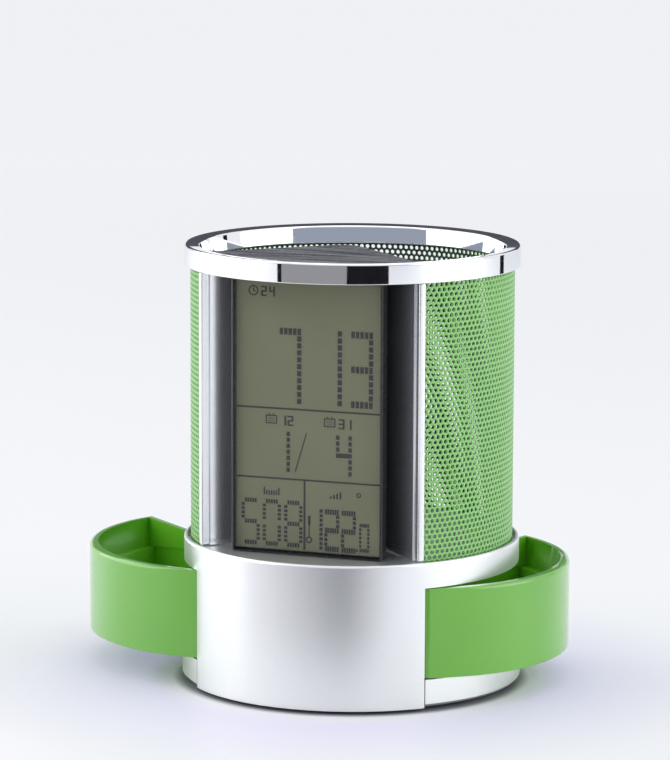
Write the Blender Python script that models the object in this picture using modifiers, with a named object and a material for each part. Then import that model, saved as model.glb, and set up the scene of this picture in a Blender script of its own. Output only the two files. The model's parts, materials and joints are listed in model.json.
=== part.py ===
"""Pen holder clock: a round pot with a perforated wall, a tall display in a wedge at its front,
and two trays that swing out of the base. Metres, +Z up, the display looks along -Y, and the
origin is on the pot's axis at the underside of its base. Angles are in degrees from the front,
counted towards +X."""

from math import asin, atan2, ceil, cos, degrees, floor, hypot, pi, radians, sin, sqrt, tan

import bmesh
import bpy
from mathutils import Matrix, Vector

MM = 0.001

# Fits
GAP = 0.3 * MM
OVERRUN = 1.0 * MM
MERGE = 0.01 * MM
EDGE_ROUND = 0.8 * MM

# Whole pot
OUTER_RADIUS = 50.0 * MM
FOOT_HEIGHT = 1.2 * MM
PLATE_HEIGHT = 8.0 * MM
SLOT_HEIGHT = 27.0 * MM
BAND_HEIGHT = 7.5 * MM
OPENING_HEIGHT = 81.0 * MM
RING_HEIGHT = 6.2 * MM

# Base shell
SEAM_ANGLE = 45.3
SHELL_WALL = 2.0 * MM
DECK_THICKNESS = 2.0 * MM
LIP_WIDTH = 1.0 * MM
CHANNEL_DEPTH = 2.4 * MM
CHANNEL_FLOOR = 1.6 * MM
CHANNEL_WALL = 1.6 * MM
CHANNEL_PLAY = 0.35 * MM
APRON_DROP = 0.3 * MM
SPINE_HALF_WIDTH = 10.3 * MM
SPINE_WALL = 1.5 * MM
SPINE_INSET = 1.5 * MM

# Base plate
PLATE_FLOOR = 2.4 * MM
RIB_WIDTH = 1.2 * MM
RIB_START = 12.0 * MM
RIB_ANGLES = (68, 98, 128)

# Trays and their hinges
TRAY_INSET = 0.2 * MM
TRAY_WALL = 1.8 * MM
TRAY_FLOOR = 2.0 * MM
TRAY_SIDE_GAP = 0.5 * MM
TRAY_FRONT_STEP = 7.5 * MM
TRAY_LEDGE_DROP = 9.0 * MM
TRAY_LEDGE_WIDTH = 1.0 * MM
TRAY_EDGE_ROUND = 0.5 * MM
KNUCKLE_RADIUS = 2.3 * MM
PIN_RADIUS = 0.9 * MM
PIN_SEAT_TOP = 3.0 * MM
PIN_SEAT_BOTTOM = 5.0 * MM
LEFT_OPEN_ANGLE = 50.5
RIGHT_OPEN_ANGLE = 19.0

# Base screws and feet
SCREW_SHANK_RADIUS = 1.2 * MM
SCREW_HEAD_RADIUS = 2.5 * MM
SCREW_HEAD_HEIGHT = 1.8 * MM
SCREW_RECESS = 1.4 * MM
SCREW_BOSS_RADIUS = 3.0 * MM
SCREW_PILLAR_RADIUS = 4.2 * MM
SCREW_GRIP = 10.0 * MM
SCREW_SLOT_WIDTH = 0.7 * MM
SCREW_SLOT_DEPTH = 0.6 * MM
SCREW_SLOT_SHARE = 0.65
SCREW_TIP_SHARE = 0.6
SCREW_RIM_SHARE = 0.3
SCREW_FACE_SHARE = 0.8
FRONT_SCREW_INSET = 8.1 * MM
FRONT_SCREW_ANGLE = 33.3
BACK_SCREW_INSET = 11.5 * MM
FOOT_RADIUS = 4.0 * MM
FOOT_RECESS = 0.8 * MM
FOOT_INSET = 10.0 * MM
FOOT_ANGLES = {
    "foot_front_right": 60,
    "foot_front_left": -60,
    "foot_back_right": 135,
    "foot_back_left": -135,
}
FOOT_EDGE_SHARE = 0.33

# Battery and its well
CELL_RADIUS = 5.25 * MM
CELL_LENGTH = 44.5 * MM
CELL_NUB_RADIUS = 1.9 * MM
CELL_NUB_LENGTH = 0.9 * MM
CELL_CRIMP = 0.4 * MM
WELL_PLAY = 0.5 * MM
WELL_WALL = 1.4 * MM
SPRING_LENGTH = 5.0 * MM
SPRING_WIRE_RADIUS = 0.3 * MM
SPRING_SMALL_RADIUS = 1.6 * MM
SPRING_LARGE_RADIUS = 3.9 * MM
SPRING_TURNS = 4
SPRING_STEPS = 8
PLATE_CONTACT_THICKNESS = 0.5 * MM
PLATE_CONTACT_HALF_WIDTH = 4.0 * MM
CONTACT_TAB_HALF_WIDTH = 1.2 * MM
CONTACT_TAB_RISE = 2.2 * MM
DOOR_THICKNESS = 1.2 * MM
DOOR_LEDGE = 1.6 * MM
DOOR_TAIL = 6.0 * MM
DOOR_SCREW_INSET = 3.0 * MM
DOOR_SCREW_SHANK_RADIUS = 0.9 * MM
DOOR_SCREW_HEAD_RADIUS = 1.8 * MM
DOOR_SCREW_GRIP = 4.0 * MM
DOOR_BOSS_RADIUS = 2.4 * MM
DOOR_BOSS_HEIGHT = 7.0 * MM
DOOR_SPOT_DEPTH = 0.6 * MM
LEAD_RADIUS = 0.55 * MM
LEAD_EASE_SHARE = 0.4
LEAD_EASE_POINTS = (0, 0.5, 1)

# Buttons on the back post
BUTTON_RADIUS = 2.4 * MM
BUTTON_PROUD = 1.0 * MM
BUTTON_FLANGE_RADIUS = 3.1 * MM
BUTTON_FLANGE = 0.9 * MM
BUTTON_TRAVEL = 0.8 * MM
BUTTON_SPACING_X = 8.4 * MM
BUTTON_SPACING_Z = 9.0 * MM
BUTTON_CENTRE_SHARE = 0.52
PAD_THICKNESS = 0.8 * MM
PAD_DOME_RADIUS = 1.8 * MM
PAD_DOME_HEIGHT = 0.8 * MM
PAD_MARGIN = 2.8 * MM
BOARD_THICKNESS = 1.2 * MM
SIDE_PLAY = 0.4 * MM

# Perforated sheet
SHEET_INSET = 2.0 * MM
SHEET_THICKNESS = 0.5 * MM
SHEET_EDGE_GAP = 0.4 * MM
HOLE_PITCH = 14.0 * MM
HOLE_RADIUS = 4.8 * MM
HOLE_SIDES = 6
HOLE_ROW_ANGLE = 60
HOLE_MARGIN = 6.0 * MM

# Top ring and roof
RING_INSET = 0.3 * MM
RING_SKIRT = 1.3 * MM
RING_LAND = 2.8 * MM
RING_BORE_RISE = 0.6 * MM
RING_LIP = 0.5 * MM
RING_CEILING = 2.7 * MM
RING_SLOPE = 0.5 * MM
ROOF_THICKNESS = 1.7 * MM
ROOF_DROP = 0.35 * MM

# Clock bay
BAY_ANGLE = 44.2
BAY_CORNER_RADIUS = 6.5 * MM
BAY_WALL = 1.6 * MM
POST_START_ANGLE = 42.9
POST_STOP_ANGLE = 45.4
POST_INSET = 0.7 * MM
POST_DEPTH = 3.1 * MM
POST_ROUND = 0.5 * MM

# Display
PANEL_INSET = 11.7 * MM
BEZEL_HALF_WIDTH = 23.3 * MM
BEZEL_DEPTH = 3.8 * MM
BEZEL_BORDER = 0.8 * MM
BEZEL_SIDE = 0.5 * MM
BEZEL_SILL = 0.4 * MM
BEZEL_LIP = 0.5 * MM
WINDOW_THICKNESS = 1.0 * MM
GLASS_THICKNESS = 1.1 * MM
GLASS_LEDGE = 3.1 * MM
REFLECTOR_THICKNESS = 0.3 * MM
STRIP_HEIGHT = 1.8 * MM
STRIP_DEPTH = 2.4 * MM
STRIP_INSET = 0.4 * MM

# Module case and its circuit board
CASE_DEPTH_SHARE = 0.438
CASE_STEP = 1.8 * MM
CASE_SIDE_PLAY = 2.2 * MM
CASE_WALL = 1.5 * MM
CASE_POST_RADIUS = 2.0 * MM
CASE_POST_SHARES = (0.2, 0.84)
CIRCUIT_INSET = 2.4 * MM
CIRCUIT_TOP_DROP = 1.8 * MM
CHIP_RADIUS = 6.0 * MM
CHIP_HEIGHT = 1.6 * MM
CRYSTAL_RADIUS = 1.0 * MM
CRYSTAL_LENGTH = 6.0 * MM
BUZZER_RADIUS = 7.0 * MM
BUZZER_HEIGHT = 3.5 * MM
BUZZER_PORT_RADIUS = 1.0 * MM
BUZZER_PORT_DEPTH = 1.5 * MM
SENSOR_RADIUS = 1.1 * MM
SENSOR_HEIGHT = 2.4 * MM
CHIP_SHARE = 0.5
CRYSTAL_SHARE = 0.34
BUZZER_SHARE = 0.69
SENSOR_SHARE = 0.11
SENSOR_SIDE_SHARE = 0.6
MODULE_SCREW_SHARE = 0.55
MODULE_SCREW_GRIP = 7.0 * MM
MODULE_BOSS_RADIUS = 2.6 * MM
MODULE_BOSS_HEIGHT = 8.0 * MM
CABLE_HOLE_RADIUS = 2.4 * MM
CABLE_HOLE_SHARE = 0.615

# Facets
ROUND_STEPS = 60
FULL_TURN_ANGLE = 360
ARC_STEP_ANGLE = FULL_TURN_ANGLE / ROUND_STEPS
SMALL_STEPS = 14
SCREW_STEPS = 10
CORNER_STEP_ANGLE = 22.5
SHARP_ANGLE = radians(35)
QUARTER_ANGLES = (0, 30, 60, 90)
EDGE_SHARE = 0.3

# Heights that follow
BASE_BOTTOM = 0.0
PLATE_TOP = BASE_BOTTOM + PLATE_HEIGHT
BAND_BOTTOM = PLATE_TOP + SLOT_HEIGHT
RIM_TOP = BAND_BOTTOM + BAND_HEIGHT
DECK_UNDERSIDE = RIM_TOP - DECK_THICKNESS
CHANNEL_BOTTOM = RIM_TOP - CHANNEL_DEPTH
CHANNEL_UNDERSIDE = CHANNEL_BOTTOM - CHANNEL_FLOOR
RING_BOTTOM = RIM_TOP + OPENING_HEIGHT
TOP = RING_BOTTOM + RING_HEIGHT
ROOF_TOP = TOP - ROOF_DROP
ROOF_UNDERSIDE = ROOF_TOP - ROOF_THICKNESS
PLATE_FLOOR_TOP = BASE_BOTTOM + PLATE_FLOOR

# Radii and angles that follow
SHELL_BORE = OUTER_RADIUS - SHELL_WALL
CHANNEL_OUTER = OUTER_RADIUS - LIP_WIDTH
SHEET_RADIUS = OUTER_RADIUS - SHEET_INSET
CHANNEL_INNER = SHEET_RADIUS - SHEET_THICKNESS - CHANNEL_PLAY
CHANNEL_START_ANGLE = POST_STOP_ANGLE + degrees(GAP / SHEET_RADIUS)
SHEET_START_ANGLE = POST_STOP_ANGLE + degrees(SHEET_EDGE_GAP / SHEET_RADIUS)
RING_BORE = SHEET_RADIUS - RING_LAND
POST_OUTER_RADIUS = OUTER_RADIUS - POST_INSET
POST_INNER_RADIUS = POST_OUTER_RADIUS - POST_DEPTH
TRAY_RADIUS = OUTER_RADIUS - TRAY_INSET
HINGE_RADIUS = TRAY_RADIUS - KNUCKLE_RADIUS
HINGE_ANGLE = SEAM_ANGLE + degrees(asin((KNUCKLE_RADIUS + GAP) / HINGE_RADIUS))
TRAY_INNER_X = SPINE_HALF_WIDTH + TRAY_SIDE_GAP
RING_RADIUS = OUTER_RADIUS - RING_INSET

for stale in list(bpy.data.objects):
    bpy.data.objects.remove(stale)

PARTS = bpy.data.collections.new("pen_holder_clock")
CUTTERS = bpy.data.collections.new("cutters")
for collection in (PARTS, CUTTERS):
    bpy.context.scene.collection.children.link(collection)


# Materials

def material(name, colour, roughness, metallic=0.0, transmission=0.0):
    """Principled material of one colour."""
    made = bpy.data.materials.new(name)
    made.use_nodes = True
    shader = made.node_tree.nodes["Principled BSDF"]
    shader.inputs["Base Color"].default_value = (*colour, 1)
    shader.inputs["Roughness"].default_value = roughness
    shader.inputs["Metallic"].default_value = metallic
    shader.inputs["Transmission Weight"].default_value = transmission
    made.diffuse_color = (*colour, 1)
    return made


SILVER_PAINT = material("silver_paint", (0.62, 0.64, 0.66), 0.32, 0.8)
GREEN_PLASTIC = material("green_plastic", (0.22, 0.56, 0.10), 0.3)
CHROME = material("chrome", (0.82, 0.83, 0.84), 0.06, 1.0)
SHEET_PAINT = material("sheet_paint", (0.27, 0.60, 0.15), 0.4)
PIN_STEEL = material("pin_steel", (0.55, 0.56, 0.58), 0.3, 1.0)
SCREW_STEEL = material("screw_steel", (0.35, 0.35, 0.37), 0.35, 1.0)
SPRING_STEEL = material("spring_steel", (0.7, 0.7, 0.68), 0.25, 1.0)
RUBBER = material("rubber", (0.03, 0.03, 0.03), 0.85)
BLACK_PLASTIC = material("black_plastic", (0.03, 0.03, 0.035), 0.5)
GREY_PLASTIC = material("grey_plastic", (0.14, 0.14, 0.15), 0.45)
CLEAR_PLASTIC = material("clear_plastic", (0.95, 0.96, 0.96), 0.05, 0.0, 1.0)
DISPLAY_GLASS = material("display_glass", (0.16, 0.17, 0.13), 0.2)
FOIL = material("foil", (0.7, 0.7, 0.68), 0.35, 0.9)
CIRCUIT_GREEN = material("circuit_green", (0.02, 0.16, 0.07), 0.45)
CELL_JACKET = material("cell_jacket", (0.05, 0.16, 0.34), 0.3, 0.2)
LEAD_RED = material("lead_red", (0.5, 0.02, 0.02), 0.5)
LEAD_BLACK = material("lead_black", (0.02, 0.02, 0.02), 0.5)


# Outlines in plan

def spot(radius, angle, centre=(0, 0)):
    """Plan point at a radius and an angle about a centre."""
    turn = radians(angle)
    return (centre[0] + radius * sin(turn), centre[1] - radius * cos(turn))


def bearing(way):
    """Angle of a plan direction, from 0 up to a full turn."""
    return degrees(atan2(way[0], -way[1])) % FULL_TURN_ANGLE


def arc(radius, start, stop, centre=(0, 0), step=ARC_STEP_ANGLE):
    """Plan points along an arc, both ends included."""
    count = max(1, ceil(abs(stop - start) / step))
    return [spot(radius, start + (stop - start) * i / count, centre) for i in range(count + 1)]


def ring_part(inner, outer, start, stop):
    """Outline of part of a ring."""
    return arc(outer, start, stop) + arc(inner, stop, start)


def wall_part(inner, outer, start):
    """Outline of a ring that leaves out the wedge at the front, from start on either side."""
    return ring_part(inner, outer, start, FULL_TURN_ANGLE - start)


def mirrored(outline):
    """The same outline on the other side of the YZ plane."""
    return [(-x, y) for x, y in reversed(outline)]


def moved(outline, offset):
    """The same outline counted from another point."""
    return [(x - offset[0], y - offset[1]) for x, y in outline]


# Solids

def place(mesh, name, group, surface, location=(0, 0, 0)):
    """Object of a mesh, linked to a collection, with its material."""
    placed = bpy.data.objects.new(name, mesh)
    placed.location = location
    group.objects.link(placed)
    if surface:
        mesh.materials.append(surface)
    if group is CUTTERS:
        placed.hide_render = True
        placed.display_type = "WIRE"
    return placed


def smooth(mesh):
    """Round faces shade smooth, and edges stay sharp."""
    mesh.shade_smooth()
    mesh.set_sharp_from_angle(angle=SHARP_ANGLE)


def from_curve(curve, name, group, surface, location=(0, 0, 0)):
    """Closed mesh object made from a filled or bevelled curve."""
    guide = bpy.data.objects.new(name, curve)
    CUTTERS.objects.link(guide)
    bpy.context.view_layer.update()
    mesh = bpy.data.meshes.new_from_object(guide.evaluated_get(bpy.context.evaluated_depsgraph_get()))
    bpy.data.objects.remove(guide)
    shape = bmesh.new()
    shape.from_mesh(mesh)
    bmesh.ops.remove_doubles(shape, verts=shape.verts, dist=MERGE)
    bmesh.ops.recalc_face_normals(shape, faces=shape.faces)
    shape.to_mesh(mesh)
    shape.free()
    mesh.materials.clear()
    smooth(mesh)
    return place(mesh, name, group, surface, location)


def prism(name, outlines, bottom, top, group=CUTTERS, surface=None, location=(0, 0, 0)):
    """Flat outline, with its holes, raised from bottom to top."""
    curve = bpy.data.curves.new(name, "CURVE")
    curve.dimensions = "2D"
    curve.fill_mode = "BOTH"
    curve.extrude = (top - bottom) / 2
    for outline in outlines:
        spline = curve.splines.new("POLY")
        spline.points.add(len(outline) - 1)
        for point, (x, y) in zip(spline.points, outline):
            point.co = (x, y, 0, 1)
        spline.use_cyclic_u = True
    middle = (top + bottom) / 2
    return from_curve(curve, name, group, surface, (location[0], location[1], location[2] + middle))


def box(name, low, high, group=CUTTERS, surface=None):
    """Box between two corners."""
    shape = bmesh.new()
    bmesh.ops.create_cube(shape, size=1)
    size = [b - a for a, b in zip(low, high)]
    bmesh.ops.scale(shape, vec=size, verts=shape.verts)
    mesh = bpy.data.meshes.new(name)
    shape.to_mesh(mesh)
    shape.free()
    return place(mesh, name, group, surface, [(a + b) / 2 for a, b in zip(low, high)])


def cylinder(name, radius, start, end, group=CUTTERS, surface=None, sides=SMALL_STEPS):
    """Round bar from one point to another."""
    start = Vector(start)
    axis = Vector(end) - start
    shape = bmesh.new()
    bmesh.ops.create_cone(shape, cap_ends=True, segments=sides, radius1=radius, radius2=radius,
                          depth=axis.length)
    turn = Vector((0, 0, 1)).rotation_difference(axis).to_matrix().to_4x4()
    bmesh.ops.transform(shape, matrix=turn, verts=shape.verts)
    mesh = bpy.data.meshes.new(name)
    shape.to_mesh(mesh)
    shape.free()
    smooth(mesh)
    return place(mesh, name, group, surface, start + axis / 2)


def turned(name, profile, group, surface=None, steps=SMALL_STEPS, location=(0, 0, 0), closed=False):
    """Profile of (radius, height) points turned about the Z axis. It runs down its outer side."""
    shape = bmesh.new()
    points = [shape.verts.new((radius, 0, height)) for radius, height in profile]
    for near, far in zip(points, points[1:]):
        shape.edges.new((near, far))
    if closed:
        shape.edges.new((points[-1], points[0]))
    mesh = bpy.data.meshes.new(name)
    shape.to_mesh(mesh)
    shape.free()
    made = place(mesh, name, group, surface, location)
    screw = made.modifiers.new("turn", "SCREW")
    screw.steps = steps
    screw.render_steps = steps
    screw.use_merge_vertices = True
    screw.merge_threshold = MERGE
    screw.use_smooth_shade = True
    return made


def boolean(target, tool, operation):
    """Live boolean between two objects."""
    step = target.modifiers.new(tool.name, "BOOLEAN")
    step.operation = operation
    step.solver = "EXACT"
    step.object = tool


def cut(target, *tools):
    for tool in tools:
        boolean(target, tool, "DIFFERENCE")


def join(target, *tools):
    for tool in tools:
        boolean(target, tool, "UNION")


def bevel(target, width, segments=1, angle=60):
    """Rounded or broken edges wherever faces meet steeply."""
    step = target.modifiers.new("edges", "BEVEL")
    step.width = width
    step.segments = segments
    step.limit_method = "ANGLE"
    step.angle_limit = radians(angle)
    step.use_clamp_overlap = True


# Places shared by several pieces

HINGE = spot(HINGE_RADIUS, HINGE_ANGLE)
SCREW_PLACES = {
    "base_screw_right": spot(OUTER_RADIUS - FRONT_SCREW_INSET, FRONT_SCREW_ANGLE),
    "base_screw_left": spot(OUTER_RADIUS - FRONT_SCREW_INSET, -FRONT_SCREW_ANGLE),
    "base_screw_back": (0, OUTER_RADIUS - BACK_SCREW_INSET),
}
FOOT_CIRCLE = OUTER_RADIUS - FOOT_INSET
SIDES = {"right": 1, "left": -1}

WELL_HALF_WIDTH = CELL_RADIUS + WELL_PLAY
WELL_FRONT = -(CELL_LENGTH / 2 + SPRING_LENGTH)
WELL_BACK = CELL_LENGTH / 2 + PLATE_CONTACT_THICKNESS + 2 * GAP
DOOR_TOP = BASE_BOTTOM + DOOR_THICKNESS
DOOR_HALF_WIDTH = WELL_HALF_WIDTH + DOOR_LEDGE
DOOR_FRONT = WELL_FRONT - DOOR_LEDGE
DOOR_BACK = WELL_BACK + DOOR_TAIL
DOOR_SCREW_Y = DOOR_BACK - DOOR_SCREW_INSET
CELL_HEIGHT = DOOR_TOP + WELL_PLAY + CELL_RADIUS
WELL_CEILING = CELL_HEIGHT + CELL_RADIUS + WELL_PLAY
WELL_TOP = WELL_CEILING + WELL_WALL
TAB_TOP = WELL_TOP + CONTACT_TAB_RISE

BUTTON_HEIGHT = PLATE_TOP + BUTTON_CENTRE_SHARE * SLOT_HEIGHT
BUTTON_PLACES = {
    "button_upper_right": (BUTTON_SPACING_X / 2, BUTTON_HEIGHT + BUTTON_SPACING_Z / 2),
    "button_upper_left": (-BUTTON_SPACING_X / 2, BUTTON_HEIGHT + BUTTON_SPACING_Z / 2),
    "button_lower_right": (BUTTON_SPACING_X / 2, BUTTON_HEIGHT - BUTTON_SPACING_Z / 2),
    "button_lower_left": (-BUTTON_SPACING_X / 2, BUTTON_HEIGHT - BUTTON_SPACING_Z / 2),
}
BUTTON_REACH = BUTTON_SPACING_X / 2 + BUTTON_FLANGE_RADIUS
FLANGE_FACE = SHELL_BORE * cos(asin(BUTTON_REACH / SHELL_BORE)) - GAP
FLANGE_BACK = FLANGE_FACE - BUTTON_FLANGE
DOME_FACE = FLANGE_BACK - BUTTON_TRAVEL - GAP / 2
PAD_FACE = DOME_FACE - PAD_DOME_HEIGHT
PAD_BACK = PAD_FACE - PAD_THICKNESS
BUTTON_BOARD_FACE = PAD_BACK - GAP

PANEL_FACE = OUTER_RADIUS - PANEL_INSET
BEZEL_BOTTOM = RIM_TOP + GAP
BEZEL_TOP = RING_BOTTOM - GAP
BEZEL_BACK = -PANEL_FACE + BEZEL_DEPTH
CASE_FRONT = BEZEL_BACK + GAP
CASE_DEPTH = -CASE_FRONT * CASE_DEPTH_SHARE
CASE_BACK = CASE_FRONT + CASE_DEPTH
CASE_FRONT_HALF_WIDTH = BEZEL_HALF_WIDTH - CASE_STEP
BAY_HALF_WIDTH = -CASE_BACK * tan(radians(BAY_ANGLE)) - BAY_WALL / cos(radians(BAY_ANGLE))
CASE_SLOPE = (CASE_FRONT_HALF_WIDTH - BAY_HALF_WIDTH + CASE_SIDE_PLAY) / CASE_DEPTH
CASE_TOP = ROOF_UNDERSIDE - GAP
WINDOW_FRONT = -PANEL_FACE + BEZEL_LIP + GAP
GLASS_FRONT = WINDOW_FRONT + WINDOW_THICKNESS + GAP
GLASS_BACK = GLASS_FRONT + GLASS_THICKNESS
REFLECTOR_FRONT = GLASS_BACK + GAP
CIRCUIT_FRONT = GLASS_BACK + STRIP_DEPTH + 2 * GAP
CIRCUIT_BACK = CIRCUIT_FRONT + BOARD_THICKNESS
CIRCUIT_BOTTOM = BEZEL_BOTTOM + CASE_WALL + GAP
CIRCUIT_TOP = BEZEL_TOP - CIRCUIT_TOP_DROP


def case_half_width(y):
    """Half the module case's width at a depth."""
    return CASE_FRONT_HALF_WIDTH - CASE_SLOPE * (y - CASE_FRONT)


CIRCUIT_HALF_WIDTH = CASE_FRONT_HALF_WIDTH - CASE_WALL - CIRCUIT_INSET
MODULE_SCREW_Y = CASE_FRONT + CASE_DEPTH * MODULE_SCREW_SHARE
MODULE_SCREW_X = (SPINE_HALF_WIDTH + case_half_width(MODULE_SCREW_Y)) / 2
MODULE_SCREWS = {"module_screw_right": MODULE_SCREW_X, "module_screw_left": -MODULE_SCREW_X}
CABLE_HOLE_Y = CASE_FRONT + CASE_DEPTH * CABLE_HOLE_SHARE


def circuit_height(share):
    """Height at a share of the way up the circuit board."""
    return CIRCUIT_BOTTOM + share * (CIRCUIT_TOP - CIRCUIT_BOTTOM)


# Base shell: band, deck, front apron, spine and back post in one moulding

def slot_outline():
    """Plan of the right-hand gap in the shell's wall, from the seam to the flat of the spine."""
    outer = OUTER_RADIUS + OVERRUN
    inner = SHELL_BORE - OVERRUN
    outer_stop = 180 - degrees(asin(SPINE_HALF_WIDTH / outer))
    inner_stop = 180 - degrees(asin(SPINE_HALF_WIDTH / inner))
    return arc(outer, SEAM_ANGLE, outer_stop) + arc(inner, inner_stop, SEAM_ANGLE)


def base_shell():
    apron_bottom = BASE_BOTTOM - APRON_DROP
    deck_edge = CHANNEL_INNER - CHANNEL_WALL
    rim = [(OUTER_RADIUS - EDGE_ROUND + EDGE_ROUND * sin(radians(turn)),
            RIM_TOP - EDGE_ROUND + EDGE_ROUND * cos(radians(turn))) for turn in QUARTER_ANGLES]
    profile = [(0, RIM_TOP)] + rim + [
        (OUTER_RADIUS, apron_bottom), (SHELL_BORE, apron_bottom), (SHELL_BORE, CHANNEL_UNDERSIDE),
        (deck_edge, CHANNEL_UNDERSIDE), (deck_edge, DECK_UNDERSIDE), (0, DECK_UNDERSIDE)]
    shell = turned("base_shell", profile, PARTS, SILVER_PAINT, ROUND_STEPS)

    slot_bottom = apron_bottom - OVERRUN
    for side, outline in (("right", slot_outline()), ("left", mirrored(slot_outline()))):
        cut(shell, prism("shell_slot_" + side, [outline], slot_bottom, BAND_BOTTOM))
    post_side = SPINE_HALF_WIDTH + OVERRUN
    post_inside = SHELL_BORE * cos(asin(post_side / SHELL_BORE)) - SHELL_WALL
    cut(shell, box("post_foot", (-post_side, post_inside, slot_bottom),
                   (post_side, OUTER_RADIUS + OVERRUN, PLATE_TOP + GAP)))

    spine_end = OUTER_RADIUS - SPINE_INSET
    for name, side in SIDES.items():
        low_x, high_x = sorted((side * SPINE_HALF_WIDTH, side * (SPINE_HALF_WIDTH - SPINE_WALL)))
        join(shell, box("spine_" + name, (low_x, -spine_end, PLATE_TOP + GAP),
                        (high_x, spine_end, DECK_UNDERSIDE + DECK_THICKNESS / 2)))
        hinge = (side * HINGE[0], HINGE[1])
        join(shell, cylinder("upper_boss_" + name, KNUCKLE_RADIUS, (*hinge, BAND_BOTTOM),
                             (*hinge, CHANNEL_UNDERSIDE + CHANNEL_FLOOR / 2)))
        cut(shell, cylinder("upper_pin_hole_" + name, PIN_RADIUS + GAP, (*hinge, BAND_BOTTOM - OVERRUN),
                            (*hinge, BAND_BOTTOM + PIN_SEAT_TOP)))

    channel = wall_part(CHANNEL_INNER, CHANNEL_OUTER, CHANNEL_START_ANGLE)
    cut(shell, prism("sheet_channel", [channel], CHANNEL_BOTTOM, RIM_TOP + OVERRUN))

    for name, screw in SCREW_PLACES.items():
        boss_bottom = PLATE_TOP + GAP
        join(shell, cylinder(name + "_boss", SCREW_BOSS_RADIUS, (*screw, boss_bottom),
                             (*screw, DECK_UNDERSIDE + DECK_THICKNESS / 2)))
        cut(shell, cylinder(name + "_pilot", SCREW_SHANK_RADIUS + GAP, (*screw, boss_bottom - OVERRUN),
                            (*screw, boss_bottom + SCREW_GRIP + OVERRUN)))

    for name, (x, z) in BUTTON_PLACES.items():
        cut(shell, cylinder(name + "_hole", BUTTON_RADIUS + GAP, (x, FLANGE_BACK, z),
                            (x, OUTER_RADIUS + OVERRUN, z)))
    below_deck = DECK_UNDERSIDE - OVERRUN
    above_deck = RIM_TOP + OVERRUN
    for name, x in MODULE_SCREWS.items():
        cut(shell, cylinder(name + "_deck_hole", SCREW_SHANK_RADIUS + GAP, (x, MODULE_SCREW_Y, below_deck),
                            (x, MODULE_SCREW_Y, above_deck)))
    cut(shell, cylinder("deck_cable_hole", CABLE_HOLE_RADIUS, (0, CABLE_HOLE_Y, below_deck),
                        (0, CABLE_HOLE_Y, above_deck)))


# Base plate: the dish under the trays, with the battery well

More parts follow.
